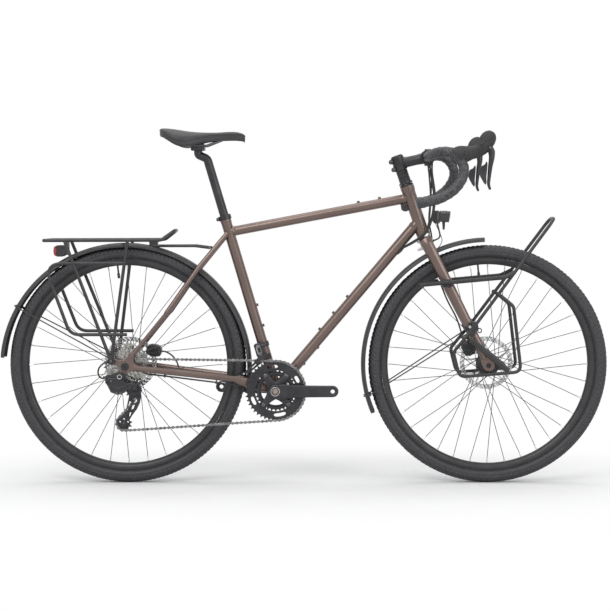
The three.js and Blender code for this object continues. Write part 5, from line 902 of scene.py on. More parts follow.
# Hoods and levers
HOOD_Y = 215
HOOD = [(-0.06, -0.03, 15.68, 29.44), (0.02, 0.035, 16, 27.2), (0.09, 0.065, 16, 24),
        (0.2, 0.085, 16, 20.8), (0.41, 0.11, 15.68, 18.24), (0.57, 0.18, 15.52, 18.88),
        (0.7, 0.31, 16, 21.76), (0.78, 0.45, 16, 23.36), (0.835, 0.56, 14.72, 21.44),
        (0.87, 0.645, 11.84, 16.32), (0.89, 0.7, 6.4, 8), (0.895, 0.712, 1.6, 2.24)]
BLADE = [(0.86, 0.235, 7, 8.5), (0.9, 0.12, 8.5, 10), (0.905, -0.05, 9, 8.2), (0.865, -0.3, 8.5, 6.6),
         (0.83, -0.62, 7.5, 5.2), (0.82, -0.8, 7, 4.5), (0.855, -0.92, 5.5, 3.8), (0.875, -0.95, 3, 2.2)]
PADDLE = [(0.7, -0.24), (0.765, -0.14), (0.788, -0.22), (0.78, -0.34), (0.755, -0.6), (0.76, -0.76),
          (0.735, -0.82), (0.68, -0.76), (0.59, -0.6), (0.545, -0.48), (0.54, -0.42), (0.6, -0.29)]


def hood_point(forward, up, side, out=0.0):
    return at(BAR.x + BAR_REACH * 0.88 + 100 * forward, side * (HOOD_Y + out), BAR.z - 3 + 100 * up)


def resection(stations, side):
    path = smooth_path([hood_point(f, u, side) for f, u, *_ in stations], 5)
    return path, stretch([(wide, tall) for _, _, wide, tall in stations], len(path))


for name, side in SIDES.items():
    path, radii = resection(HOOD, side)
    hood_pieces = [sweep(path, radii, 40)]
    for k in range(7):
        i = int((0.2 + 0.05 * k) * (len(path) - 1))
        rib = [path[i] + ACROSS * side * (radii[i][0] + out) for out in (-0.2, 0.7)]
        hood_pieces.append(sweep(rib, [(1.1, 8), (0.7, 7)], 16, FORWARD))
    seam_line = [hood_point(f, u, side, 15.9) for f, u in ((0.56, 0.3), (0.68, 0.38), (0.8, 0.46),
                                                           (0.92, 0.53))]
    hood_pieces.append(sweep(smooth_path(seam_line, 5), 1.1, 10))
    lean = (path[1] - path[0]).normalized()
    wide, tall = ACROSS * 16.2 * 0.98, lean.cross(ACROSS) * -16.2 * 1.84
    foot_ring = [path[0] + lean * 1.2 + wide * math.cos(TURN * k / 48) + tall * math.sin(TURN * k / 48)
                 for k in range(49)]
    hood_pieces.append(sweep(foot_ring, 1.2, 8, FORWARD))
    place("hood_" + name, joined(*hood_pieces), "black_rubber", "steering", ["lever_hood_" + name], edge=50)
    lever = "brake_lever_" + name
    pivot = hood_point(0.85, 0.235, side)
    blade = joined(sweep(*resection(BLADE, side), 28),
                   rod(pivot - ACROSS * 7, pivot + ACROSS * 7, 6.6, 28, 0.6))
    place("brake_blade_" + name, blade, "black_alloy", lever, [lever], edge=45)
    pins = [screw(pivot + out * 16.4, out, 3.4, 0.8) for out in (ACROSS, -ACROSS)]
    place("lever_pin_" + name, joined(*pins), "dark_steel", "steering")
    paddle = "shift_paddle_" + name
    paddle_plate = plate(PADDLE, 5, side * HOOD_Y, bevel=1.1, home=hood_point(0, 0, side), scale=100)
    place("gear_paddle_" + name, paddle_plate, "black_alloy", paddle, [paddle], edge=45)

# Seatpost, saddle clamp, rails, shell and cover
POST_TOP = on_seat(719)
CLAMP_BASE = POST_TOP + at(-27, 0, 24)
post_path = rounded([on_seat(392), POST_TOP, CLAMP_BASE - UP * 12, CLAMP_BASE], 15, 10)
post_radii = [13.6 - 1.1 * min(1, max(0, (p.z - POST_TOP.z + 16) / 16)) for p in post_path]
place("post_tube", sweep(post_path, post_radii, 40), "black_alloy", "seatpost", ["seatpost"])
clamp_home = CLAMP_BASE + UP * 0.3
clamp_lower = plate([(-20, 1), (-19, 0), (19, 0), (20, 1), (20, 10), (17, 12.5), (-17, 12.5), (-20, 10)],
                    51, 0, bevel=1.2, home=clamp_home)
clamp_upper = plate([(-20, 14.5), (20, 14.5), (20, 16.5), (17, 19.5), (-17, 19.5), (-20, 16.5)], 51, 0,
                    bevel=1, home=clamp_home)
place("rail_clamp", joined(clamp_lower, clamp_upper), "black_alloy", "seatpost", ["saddle_clamp"], edge=35)
clamp_bolts = [rod(CLAMP_BASE + at(x, 0, low), CLAMP_BASE + at(x, 0, high), radius, 20, rim)
               for x in (-13, 13)
               for low, high, radius, rim in ((2, 23, 3, 0.4), (19, 22.5, 5, 0.6))]
place("rail_clamp_bolts", joined(*clamp_bolts), "dark_steel", "seatpost")
RAIL_Z = CLAMP_BASE.z + 14.3
SADDLE_LENGTH, SADDLE_WIDTH, SADDLE_HEIGHT = 252, 146, 52
SADDLE_TAIL = CLAMP_BASE.x - SADDLE_LENGTH * 0.444
RAIL_SHARES = [(0.12, 1.35, 0.532), (0.26, 1, 0), (0.55, 0.95, 0), (0.75, 0.4, 0.362)]
SADDLE = [(0, 0.34, 1.04, 0.93), (0.03, 0.62, 1.07, 0.9), (0.1, 0.86, 1.06, 0.7), (0.2, 1, 1, 0.42),
          (0.3, 0.96, 0.92, 0.32), (0.4, 0.78, 0.86, 0.42), (0.5, 0.56, 0.83, 0.56), (0.6, 0.4, 0.82, 0.64),
          (0.7, 0.31, 0.83, 0.68), (0.8, 0.27, 0.86, 0.7), (0.9, 0.25, 0.85, 0.7), (0.97, 0.2, 0.76, 0.66),
          (1, 0.1, 0.66, 0.58)]
SADDLE_STATIONS, SADDLE_TURNS = 48, 28
left_rail, right_rail = [[at(SADDLE_TAIL + SADDLE_LENGTH * f, side * 22 * spread,
                             RAIL_Z + SADDLE_HEIGHT * rise)
                          for f, spread, rise in RAIL_SHARES] for side in (1, -1)]
rails = rounded(right_rail + left_rail[::-1], 14)
place("rail_wires", sweep(rails, 3.5, 24), "dark_steel", "seatpost", ["saddle_rails"])


def saddle_point(station, angle, drop, narrow, wide=1.0):
    forward, half, crown, edge = station
    x = SADDLE_TAIL + SADDLE_LENGTH * (0.5 + (forward - 0.5) * (0.9 + 0.1 * wide))
    reach = SADDLE_WIDTH / 2 * half * wide
    base = RAIL_Z - SADDLE_HEIGHT * 0.06
    low, top = base + SADDLE_HEIGHT * edge, base + SADDLE_HEIGHT * crown
    z = low + (top - low) * max(math.sin(angle), 0) ** 0.75 - drop
    return at(x, -math.cos(angle) * (reach - narrow), z)


def saddle_station(share):
    place_at = share * (len(SADDLE) - 1)
    i = min(int(place_at), len(SADDLE) - 2)
    near = SADDLE[max(i - 1, 0)], SADDLE[i], SADDLE[i + 1], SADDLE[min(i + 2, len(SADDLE) - 1)]
    return tuple(through(*values, place_at - i) for values in zip(*near))


stations = [saddle_station(k / (SADDLE_STATIONS - 1)) for k in range(SADDLE_STATIONS)]


def saddle_layer(top_drop, bottom_drop, wide):
    """A layer of the saddle between two depths under its top."""
    angles = [math.pi * k / (SADDLE_TURNS - 1) for k in range(SADDLE_TURNS)]
    points = []
    for station in stations:
        points += [saddle_point(station, angle, top_drop, 0, wide) for angle in angles]
        points += [saddle_point(station, angle, bottom_drop, bottom_drop * 0.1, wide)
                   for angle in angles[::-1]]
    return points, [(a, d, c, b) for a, b, c, d in channel_faces(SADDLE_STATIONS, SADDLE_TURNS)]


cover = place("saddle_padding", saddle_layer(0, 13.4, 1), "cover_leather", "seatpost", ["saddle_cover"],
              edge=60)
place("saddle_base", saddle_layer(14.4, 18, 0.91), "black_plastic", "seatpost", ["saddle_shell"], edge=60)
hem_sides = [[saddle_point(station, angle, -0.4, -0.5) for station in stations] for angle in (0, math.pi)]
hem = sweep(hem_sides[0] + hem_sides[1][::-1], 1.3, 10, UP)
place("saddle_hem", hem, "black_plastic", "seatpost")

# Axles
for end, centre, width, thick, head, body in (("rear", REAR_HUB, 142, 7, 11.4, "frame"),
                                              ("front", FRONT_HUB, 100, 6, 6.6, "steering")):
    face = width / 2 + thick + 0.3
    outline = [(0, -face - 1.2), (3.6, -face - 1.2), (3.6, -face - 4), (head - 1.4, -face - 4),
               (head, -face - 2.8), (head, -face), (5.9, -face), (5.9, face + 1), (5.2, face + 2),
               (0, face + 2)]
    place(end + "_through_axle", turned(outline, 48, centre), "black_alloy", body, [end + "_axle"], edge=30)
    for name, way in SIDES.items():
        cap = [(r, way * (width / 2 - 4 + y)) for r, y in ((6.4, 0), (11, 0), (11.5, 0.6), (11.5, 3.4),
                                                           (6.4, 3.4))]
        place(end + "_end_cap_" + name, turned(cap, 48, centre), "dark_steel", body, edge=30)

# Mudguards
GUARD_SHARES = [(-1, 1), (-0.72, 0.985), (-0.42, 0.93), (-0.2, 0.83), (-0.06, 0.68), (0, 0.48), (0.02, 0.2)]
GUARD_SHARES += [(out, -wide) for out, wide in reversed(GUARD_SHARES)]
GUARD_DEPTH, GUARD_HALF = 13, 26
FRONT_GUARD_RADIUS, REAR_GUARD_RADIUS = 378, 379
REAR_GUARD = REAR_HUB + at(-6.4, 0, -13.7)


def guard_channel(centre, radius, start, end, steps):
    """A thin channel bent round the wheel between two angles, a little narrower at its ends."""
    section = [(out * GUARD_DEPTH, wide * GUARD_HALF) for out, wide in GUARD_SHARES]
    section += [(out * GUARD_DEPTH - (0 if abs(wide) > 0.98 else 1.6),
                 wide * GUARD_HALF - math.copysign(1.4, wide))
                for out, wide in reversed(GUARD_SHARES)]
    points = []
    for i in range(steps + 1):
        angle = (start + (end - start) * i / steps) * DEGREE
        tuck = {0: 0.82, 1: 0.95}.get(min(i, steps - i), 1)
        points += [centre + around(radius + out, angle, y * tuck) for out, y in section]
    return points, channel_faces(steps + 1, len(GUARD_SHARES))


front_guard = guard_channel(FRONT_HUB, FRONT_GUARD_RADIUS, 91.5, 203, 90)
rear_guard = guard_channel(REAR_GUARD, REAR_GUARD_RADIUS, -7, 174.5, 140)
guard_bolt = rod(on_head(372.5), on_head(394.7), 5, 24, 0.5)
place("front_mudguard", front_guard, "black_plastic", "steering", ["front_fender"])
place("front_mudguard_bolt", guard_bolt, "dark_steel", "steering")
place("rear_mudguard", rear_guard, "black_plastic", "frame", ["rear_fender"])


def guard_stay(centre, radius, angle, eyelet):
    """A wire stay from the two eyelets up and over the mudguard, with its eyes, screws and clips."""
    direction = around(1, angle * DEGREE)
    skirt, crown = centre + direction * (radius - GUARD_DEPTH), centre + direction * (radius + 2.7)
    half = [eyelet, skirt + ACROSS * 30, crown + ACROSS * 30]
    corners = [at(p.x, -p.y, p.z) for p in half] + half[::-1]
    pieces, clips = [sweep(rounded(corners, 7), 1.9, 14)], []
    for way in (-1, 1):
        out = ACROSS * way
        foot = at(eyelet.x, way * eyelet.y, eyelet.z)
        middle = skirt + out * 28.6
        pieces.append(turned(hoop(2.4, 5, -1.6, 1.6, 0.2, 0.4), 28, foot))
        pieces.append(screw(foot + out * 1.6, out, 3.6, 1.6))
        clips.append(sweep([middle - direction * 6, middle + direction * 9], (2.4, 5), 4, turn=45 * DEGREE))
        clips.append(screw(middle + out * 1.4, out, 3, 1.4))
    return joined(*pieces), joined(*clips)


rear_wire, rear_clips = guard_stay(REAR_GUARD, REAR_GUARD_RADIUS, -7 + 181.5 * 19 / 22,
                                   REAR_HUB + at(-40, 68.3, 20))
place("rear_guard_wire", rear_wire, "satin_black", "frame", ["rear_fender_stay"])
place("rear_guard_clips", rear_clips, "black_plastic", "frame")
front_eyelet = FRONT_HUB + at(-57, 65.3, 100.32)
front_wire, front_clips = guard_stay(FRONT_HUB, FRONT_GUARD_RADIUS, 91.5 + 111.5 * 12 / 13, front_eyelet)
place("front_guard_wire", front_wire, "satin_black", "steering", ["front_fender_stay"])
place("front_guard_clips", front_clips, "black_plastic", "steering")

# Rear rack
RACK_Z = REAR_HUB.z + 374
RACK_HALF = 60
RACK_TAIL, RACK_NOSE = -240, 108
RACK_FOOT = REAR_HUB + at(-40, 0, 17)
FOOT_HALF = 84


def rack_tube(points, radius=5, bend=20, sides=24, across=ACROSS):
    return sweep(rounded(points, bend) if len(points) > 2 else points, radius, sides, across)


rails = [[at(RACK_TAIL, side * RACK_HALF, RACK_Z), at(RACK_NOSE, side * RACK_HALF, RACK_Z),
          at(146, side * 33, RACK_Z + 28)] for side in (-1, 1)]
rack_pieces = [rack_tube(rails[0] + rails[1][::-1]),
               rack_tube([at(RACK_TAIL, 0, RACK_Z), at(RACK_NOSE, 0, RACK_Z)], 4)]
for share, radius in ((0, 5), (0.35, 4), (0.66, 4), (0.985, 4)):
    x = RACK_TAIL + (RACK_NOSE - RACK_TAIL) * share
    rack_pieces.append(rack_tube([at(x, y, RACK_Z) for y in (-RACK_HALF, RACK_HALF)], radius,
                                 across=FORWARD))
rack_screws = []
for side in (-1, 1):
    out = ACROSS * side
    foot = RACK_FOOT + out * FOOT_HALF
    rack_pieces += [rack_tube([at(top, side * RACK_HALF, RACK_Z), foot]) for top in (-179, 9)]
    hoop_corners = [at(RACK_NOSE + (RACK_TAIL - RACK_NOSE) * back,
                       side * (RACK_HALF + (FOOT_HALF - RACK_HALF) * down),
                       RACK_Z - (RACK_Z - RACK_FOOT.z) * down)
                    for back, down in ((0.3, 0.19), (1.0, 0.19), (0.775, 0.78), (0.29, 0.78))]
    rack_pieces.append(rack_tube(hoop_corners, bend=40))
    rack_pieces.append(plate(circle(foot, 11, 32), 6, side * 81.3, bevel=0.8))
    rack_screws.append(screw(foot + out * 4.6, out, 4.6, 2.4))
    stay = stay_path(SEAT_STAY, TOP_ENDS[0], side)
    along = (stay[3] - stay[2]).normalized()
    end = stay[2].lerp(stay[3], 0.5) + at(-along.z, 0, along.x) * 12.5
    rack_pieces.append(rack_tube([at(80, side * 12, RACK_Z - 18), at(206, end.y, RACK_Z - 18), end], 4,
                                 sides=20))
    rack_screws.append(screw(end + out * 4.6, out, 4.2, 2.2))
block_points = [(66, RACK_Z), (94, RACK_Z), (92, RACK_Z - 12), (92, 708), (68, 712), (68, RACK_Z - 10)]
rack_pieces.append(plate(block_points, 30, 0, bevel=1.5))
place("rack_tubes", joined(*rack_pieces), "satin_black", "frame", ["rear_rack"])
place("rack_screws", joined(*rack_screws), "dark_steel", "frame")
LAMP_FACE = -179
bracket_plate = [(-1.5, 686), (1.5, 686), (1.5, 730), (-1.5, 730)]
place("lamp_bracket", plate(bracket_plate, 56, 0, bevel=0.6, home=at(LAMP_FACE, 0, 0)), "satin_black",
      "frame")
lamp_home = at(LAMP_FACE - 6, 0, RACK_Z - 32)
housing = plate([(6, -6), (6, 12), (0, 16.8), (-23, 16.8), (-23, -16.8), (-7, -16.8)], 58, 0, bevel=1.6,
                home=lamp_home)
place("tail_lamp_housing", housing, "black_plastic", "frame")
lens = plate([(-22.6, -15.6), (-22.6, 15.6), (-28, 14.8), (-32, 10), (-33, 0), (-32, -10), (-28, -14.8)],
             56, 0, bevel=3, home=lamp_home)
place("tail_lamp_lens", lens, "red_lens", "frame", ["tail_lamp"], edge=50)

# Front rack, its bands, and the headlamp
FRONT_HALF = 73
SLOPE_HALF = 70
REACH = 114
LOW_HOOP = [(-0.5, 0.88), (-0.93, 0.36), (-0.77, -0.28), (0.82, -0.15), (0.62, 1.55), (0.2, 1.9)]


def from_front(forward, side, rise):
    return FRONT_HUB + at(forward, side, rise)


slopes = {side: [from_front(-46, side * SLOPE_HALF, REACH), from_front(192, side * 56, 434)]
          for side in (-1, 1)}
front_pieces, band_pieces, front_bolts = [rack_tube(slopes[-1] + slopes[1][::-1], bend=35)], [], []
band_at = BLADE_FOOT - ALONG_BLADE * (92 / -ALONG_BLADE.z)
BAND_SHARE = 0.27
band_wide, band_tall = 12.1 + 2.5 * BAND_SHARE, 15.1 + 4.5 * BAND_SHARE
grip_at = BLADE_FOOT.lerp(CROWN, (FRONT_HUB.z + 248 - BLADE_FOOT.z) / (CROWN.z - BLADE_FOOT.z))
grip = [(-15, -12), (-10, -16), (10, -16), (16, -10), (16, 4), (10, 8), (-12, 8), (-16, 2)]
clamp_outline = [(1024, 489), (1034, 488), (1044, 480), (1046, 467), (1038, 456), (1030, 442), (1017, 446),
                 (1012, 460), (1020, 468), (1026, 478)]
clip_turns = [around(1, TURN * k / 24) for k in range(25)]
for side in (-1, 1):
    low, high = slopes[side]
    out = ACROSS * side
    y = side * FRONT_HALF
    tail = from_front(-206, y, 240)
    low_hoop = [from_front(REACH * f, y, REACH * u) for f, u in LOW_HOOP]
    strut = [from_front(REACH * -0.47, y, REACH * 0.68), from_front(57, y, REACH * -0.13)]
    front_pieces += [rack_tube([tail, from_front(45, y, 262), low.lerp(high, 0.51)], 6.5, 30),
                     rod(tail, from_front(-209, y, 239.7), 6.9, 24, 1),
                     rack_tube([low, *low_hoop, low.lerp(high, 0.29)], bend=22),
                     sweep([strut[0].lerp(strut[1], t / 6) for t in range(7)], (2.4, 8.5), 20)]
    middle = at(band_at.x, side * (FORK_END_Y - 11.5 * BAND_SHARE), band_at.z)
    band_radii = [(band_wide - thin, band_tall - thin) for thin in (0.8, 0, 0, 0.8)]
    band_pieces += [sweep([middle - ALONG_BLADE * d for d in (-8, -7, 7, 8)], band_radii, 40, BLADE_ACROSS),
                    rod(middle + out * (band_wide - 2), band_at + out * 71, 5.8, 24, 0.6),
                    rod(band_at + out * SLOPE_HALF, low, 5.6, 24, 0.6),
                    screw(band_at + out * 71, out, 4.4, 2.2),
                    plate(grip, 16, side * 65, bevel=2, home=grip_at),
                    plate(clamp_outline, 12, side * 71, bevel=2),
                    sweep([at(p.x * 5.4 + 1049, side * SLOPE_HALF, p.z * 6.4 + 461) for p in clip_turns],
                          1.6, 10)]
    band_pieces += [screw(grip_at + at(x, y, -9), out, 3.8, 2) for x in (-8, 8)]
    front_bolts.append(screw((1020, side * 77, 472), out, 4.6, 2.4))
place("front_rack_bolts", joined(*front_bolts), "bright_steel", "steering")
place("front_rack_tubes", joined(*front_pieces), "satin_black", "steering", ["front_rack"])
place("front_rack_bands", joined(*band_pieces), "black_alloy", "steering")
LAMP_FOOT = CROWN + FORWARD * 20.9
LAMP_REAR = LAMP_FOOT + UP * 72


def lamp_block(outline, thickness, bevel):
    return plate(outline, thickness, 0, bevel=bevel, home=LAMP_REAR)


def lamp_ribs(count, first, pitch, width, low, high, thickness):
    return [lamp_block([(x, low), (x + width, low), (x + width, high), (x, high)], thickness, 0.4)
            for x in [first + pitch * k for k in range(count)]]


lamp_pieces = [lamp_block([(20, -15), (46.6, -16.6), (47.6, -15), (52, 15), (51, 16.8), (20, 15.4)], 36, 3),
               lamp_block([(0, -14), (6, -20), (19, -20), (22, -14), (22, 14), (17, 18.6), (4, 18.6),
                           (0, 13)], 27, 2.4),
               lamp_block([(28, -15), (37, -16), (36, -36), (34, -39), (31, -39), (29.4, -36)], 7, 1.2),
               *lamp_ribs(5, 22.5, 4.4, 1.6, 14, 18.2, 30), *lamp_ribs(4, 3.6, 4.2, 1.4, -13, 12, 29.6),
               turned(hoop(0, 5.6, -15.4, 15.4, 0.6), 28, LAMP_REAR + at(11, 0, -12))]
arm = rounded([LAMP_FOOT, LAMP_FOOT + at(24, 0, 10), LAMP_REAR + at(12, 0, -12)], 15, 10)
place("headlamp_body", joined(*lamp_pieces, sweep(arm, (8, 2.4), 24)), "black_plastic", "steering",
      ["headlamp"])
# Lighter steel pieces on the lamp: a band round the rear block, and a thin strip along the top edge of the
# front block that is a painted highlight on its top chamfer.
lamp_band_and_highlight = [lamp_block([(13.4, -17), (19, -17), (19, 17), (13.4, 17)], 28.4, 0.4),
              lamp_block([(24, 10), (50, 10), (51, 16.2), (24, 15)], 36.8, 0.8)]
place("headlamp_band_and_highlight", joined(*lamp_band_and_highlight), "dark_steel", "steering")
lamp_lens = [(46.4, -13.6), (48.6, -13.6), (50.6, -8), (52, 0), (53, 8), (53, 13.6), (50.6, 13.6)]
place("headlamp_lens", lamp_block(lamp_lens, 31, 1), "clear_lens", "steering")
wire_steps = [(8, 3, 53), (22, 4, 22), (28, 3, 2), (20, 0, -16), (8, -2, -24), (-3, -2, -22)]
lamp_wire = smooth_path([LAMP_FOOT + Vector(step) for step in wire_steps], 8)
place("headlamp_wire", sweep(lamp_wire, 1.1, 10), "black_rubber", "steering")
place("headlamp_screw", screw(LAMP_FOOT + at(2, 0, 1), FORWARD, 4.2, 2.4), "dark_steel", "steering")

# Drive train: the chain runs round the big ring, two pulleys and the smallest cog
ROLLER = 3.9
RING_TEETH, INNER_TEETH, PULLEY_TEETH = 44, 30, 11
CHAIN_RING, CHAIN_INNER, CHAIN_COG, COG_STEP = -50.7, -43.2, -61.5, 3.74
GUIDE = REAR_HUB + at(22, 0, -73)
CAGE_LENGTH = 101


def pitch_radius(teeth):
    return CHAIN_PITCH / (2 * math.sin(math.pi / teeth))


def chain_circles(angle):
    return [(BRACKET, RING_TEETH, -1), (GUIDE + around(CAGE_LENGTH, angle), PULLEY_TEETH, -1),
            (GUIDE, PULLEY_TEETH, 1), (REAR_HUB, COGS[0], -1)]


def tangent_line(start, stop):
    dx, dz = stop[0].x - start[0].x, stop[0].z - start[0].z
    r1, r2 = pitch_radius(start[1]) * start[2], pitch_radius(stop[1]) * stop[2]
    normal = math.atan2(dz, dx) + math.asin((r1 - r2) / math.hypot(dx, dz)) - math.pi / 2
    return spot(start[0], r1, normal), spot(stop[0], r2, normal)


def chain_loop(angle):
    """The arcs and straight runs of the loop, each with its length in links."""
    circles = chain_circles(angle)
    lines = [tangent_line(c, circles[(i + 1) % 4]) for i, c in enumerate(circles)]
    stretches = []
    for i, (centre, teeth, turn) in enumerate(circles):
        arrive, (leave, land) = lines[i - 1][1], lines[i]
        start = math.atan2(arrive[1] - centre.z, arrive[0] - centre.x)
        swept = (math.atan2(leave[1] - centre.z, leave[0] - centre.x) - start) * turn % TURN
        stretches.append(("arc", circles[i], start, swept, swept * teeth / TURN))
        stretches.append(("run", lines[i], 0, 0, math.dist(leave, land) / CHAIN_PITCH))
    return stretches


def loop_links(angle):
    return sum(part[4] for part in chain_loop(angle))


REST_ANGLE = -101.5 * DEGREE
LINKS = 2 * math.floor(loop_links(REST_ANGLE) / 2 + 0.5)
low_angle, high_angle = REST_ANGLE - 25 * DEGREE, REST_ANGLE + 25 * DEGREE
low_sign = math.copysign(1, loop_links(low_angle) - LINKS)
for _ in range(50):
    middle_angle = (low_angle + high_angle) / 2
    if math.copysign(1, loop_links(middle_angle) - LINKS) == low_sign:
        low_angle = middle_angle
    else:
        high_angle = middle_angle
TENSION_ANGLE = (low_angle + high_angle) / 2
TENSION = chain_circles(TENSION_ANGLE)[1][0]
LOOP = chain_loop(TENSION_ANGLE)


def loop_point(position):
    rest = position % LINKS
    for kind, what, start, swept, links in LOOP:
        if rest <= links:
            share = rest / links
            if kind == "arc":
                centre, teeth, turn = what
                return spot(centre, pitch_radius(teeth), start + turn * swept * share)
            return [a + (b - a) * share for a, b in zip(*what)]
        rest -= links
    return loop_point(0)


def chain_y(x):
    """The chain runs sideways from the cog's plane to the ring's."""
    near, far = 60, BRACKET.x - pitch_radius(RING_TEETH) - 30
    share = min(max((x - near) / (far - near), 0), 1)
    return CHAIN_COG + (CHAIN_RING - CHAIN_COG) * share


def mesh_phase(index):
    """The angle at which a toothed wheel's first gap meets a pin of the chain."""
    start = sum(part[4] for part in LOOP[:2 * index])
    _, (_, teeth, turn), angle, _, _ = LOOP[2 * index]
    return angle + turn * (math.ceil(start) - start) * TURN / teeth


def link_outline(reach, waist, count=10):
    outline = []
    for sign in (1, -1):
        for k in range(count + 1):
            x, z = reach * math.sin(math.pi * k / count), -reach * math.cos(math.pi * k / count)
            outline.append((sign * (CHAIN_PITCH / 2 + x), sign * z))
        outline.append((0, sign * waist))
    return outline


def chain_mesh():
    pins = [loop_point(k) for k in range(LINKS)]
    plates = [(2.25, plate(link_outline(4.3, 2.1), 0.9, 0, bevel=0.25)),
              (1.4, plate(link_outline(4.1, 2.0), 0.9, 0, bevel=0.25))]
    roller = turned(hoop(1.9, ROLLER, -1.25, 1.25, 0.3, 0.35), 16)
    pin = turned(hoop(0, 1.8, -3.1, 3.1, 0.3, 0.2), 12)
    plate_pieces, pin_pieces = [], []
    for k, (x, z) in enumerate(pins):
        next_x, next_z = pins[(k + 1) % LINKS]
        a, b = at(x, chain_y(x), z), at(next_x, chain_y(next_x), next_z)
        along = (b - a).normalized()
        side = (ACROSS - along * ACROSS.dot(along)).normalized()
        turn = Matrix((along, side, side.cross(along))).transposed().to_4x4()
        middle = Matrix.Translation((a + b) / 2) @ turn
        offset, shape = plates[k % 2]
        plate_pieces += [moved(shape, middle @ Matrix.Translation((0, way * offset, 0))) for way in (-1, 1)]
        pin_pieces += [moved(part, Matrix.Translation(a) @ turn) for part in (roller, pin)]
    return joined(*plate_pieces), joined(*pin_pieces)


links, pins = chain_mesh()
place("chain_plates", links, "chain_steel", "frame", ["chain"], edge=35)
place("chain_pins", pins, "dark_steel", "frame", edge=35)


def toothed(teeth, phase, centre, tip=3.1, steps=5):
    """A sprocket outline: round roller seats between tapered teeth."""
    pitch = pitch_radius(teeth)
    half = math.pi / teeth
    outline = []
    for k in range(teeth):
        middle = phase + TURN * k / teeth
        for j in range(-steps, steps + 1):
            local = j / steps * 66 * DEGREE
            x, y = pitch - 4 * math.cos(local), 4 * math.sin(local)
            angle = max(-half * 0.8, min(half * 0.8, math.atan2(y, x)))
            outline.append(spot(centre, math.hypot(x, y), middle + angle))
        outline += [spot(centre, pitch + tip * share, middle + half * turn)
                    for turn, share in ((0.86, 0.75), (1, 1), (1.14, 0.75))]
    return outline


def sector(centre, inner, outer, start, stop, steps=14):
    """A closed outline between two radii and two angles in degrees."""
    angles = [(start + (stop - start) * k / steps) * DEGREE for k in range(steps + 1)]
    return [spot(centre, outer, a) for a in angles] + [spot(centre, inner, a) for a in reversed(angles)]


# Cassette
cassette_pieces = []
for k, teeth in enumerate(COGS):
    phase = 0.13 * k if k else mesh_phase(3)
    holes = [circle(REAR_HUB, 16.6 if k else 12, 32)]
    if teeth >= 19:
        for j in range(6):
            turn = 60 * j + 0.1 * k / DEGREE
            holes.append(sector(REAR_HUB, 21.5, pitch_radius(teeth) - 8, turn - 18.6, turn + 18.6, 8))
    cassette_pieces.append(plate(toothed(teeth, phase, REAR_HUB), 1.6, CHAIN_COG + COG_STEP * k, holes,
                                 bevel=0.2))
place("cassette_cogs", joined(*cassette_pieces), "cog_steel", "cassette", ["cassette"], edge=30)
core = [(6.6, -64.2), (12.5, -64.2), (13.4, -63.4), (13.4, -61), (16.8, -60.4), (16.8, -19), (6.6, -19)]
place("freehub_body", turned(core, 48, REAR_HUB), "dark_steel", "cassette", edge=30)

# Rings and cranks
ARM_ANGLES = [53.7, 123.4, 229.5, 313.5]
RING_SLOTS = [(28, 9), (98, 14), (204.6, 10.7), (280, 15)]
RING_WINDOWS = [(88.5, 23), (176.5, 41), (271.5, 30), (3.6, 38)]
CRANK_Y, CRANK_LENGTH = 71, 170


def polar(angle, radius):
    return spot(BRACKET, radius, angle * DEGREE)


def ring_slot(middle, span, steps=10):
    """A slot with round ends, narrower toward them."""
    shares = [2 * k / steps - 1 for k in range(steps + 1)]
    sides = [(share, 5) for share in shares] + [(share, -5) for share in shares[-2:0:-1]]
    return [polar(middle + span * share, 72.5 + half * math.sqrt(max(0, 1 - share ** 4)))
            for share, half in sides]


outer_holes = [circle(BRACKET, 49, 64), *[ring_slot(*slot_at) for slot_at in RING_SLOTS],
               *[sector(BRACKET, 54.4, 61, middle - span, middle + span, 12)
                 for middle, span in RING_WINDOWS]]
big_ring = plate(toothed(RING_TEETH, mesh_phase(0), BRACKET), 1.7, CHAIN_RING, outer_holes)
small_ring = plate(toothed(INNER_TEETH, 0, BRACKET), 1.7, CHAIN_INNER, [circle(BRACKET, 43.5, 64)])
place("big_chainring", big_ring, "black_alloy", "crankset", ["chainring_outer"], edge=30)
place("small_chainring", small_ring, "black_alloy", "crankset", ["chainring_inner"], edge=30)


def crank_arm(direction, middle):
    points = []
    for k in range(19):
        angle = (90 - 10 * k) * DEGREE
        points.append((direction * (CRANK_LENGTH + 17.2 * math.cos(angle)), 17 * math.sin(angle)))
    edge = [(direction * CRANK_LENGTH * share, half) for share, half in
            ((0.8, 17.1), (0.55, 17.6), (0.3, 19.4), (0.14, 22))]
    points += [(x, -half) for x, half in edge]
    for k in range(13):
        angle = (-70 - 220 * k / 12) * DEGREE
        points.append((direction * 21 * math.cos(angle), 21 * math.sin(angle)))
    eye = circle(BRACKET + FORWARD * direction * CRANK_LENGTH, 7, 28)
    return plate(points + edge[::-1], 13.4, middle, [eye], 3.2, BRACKET)


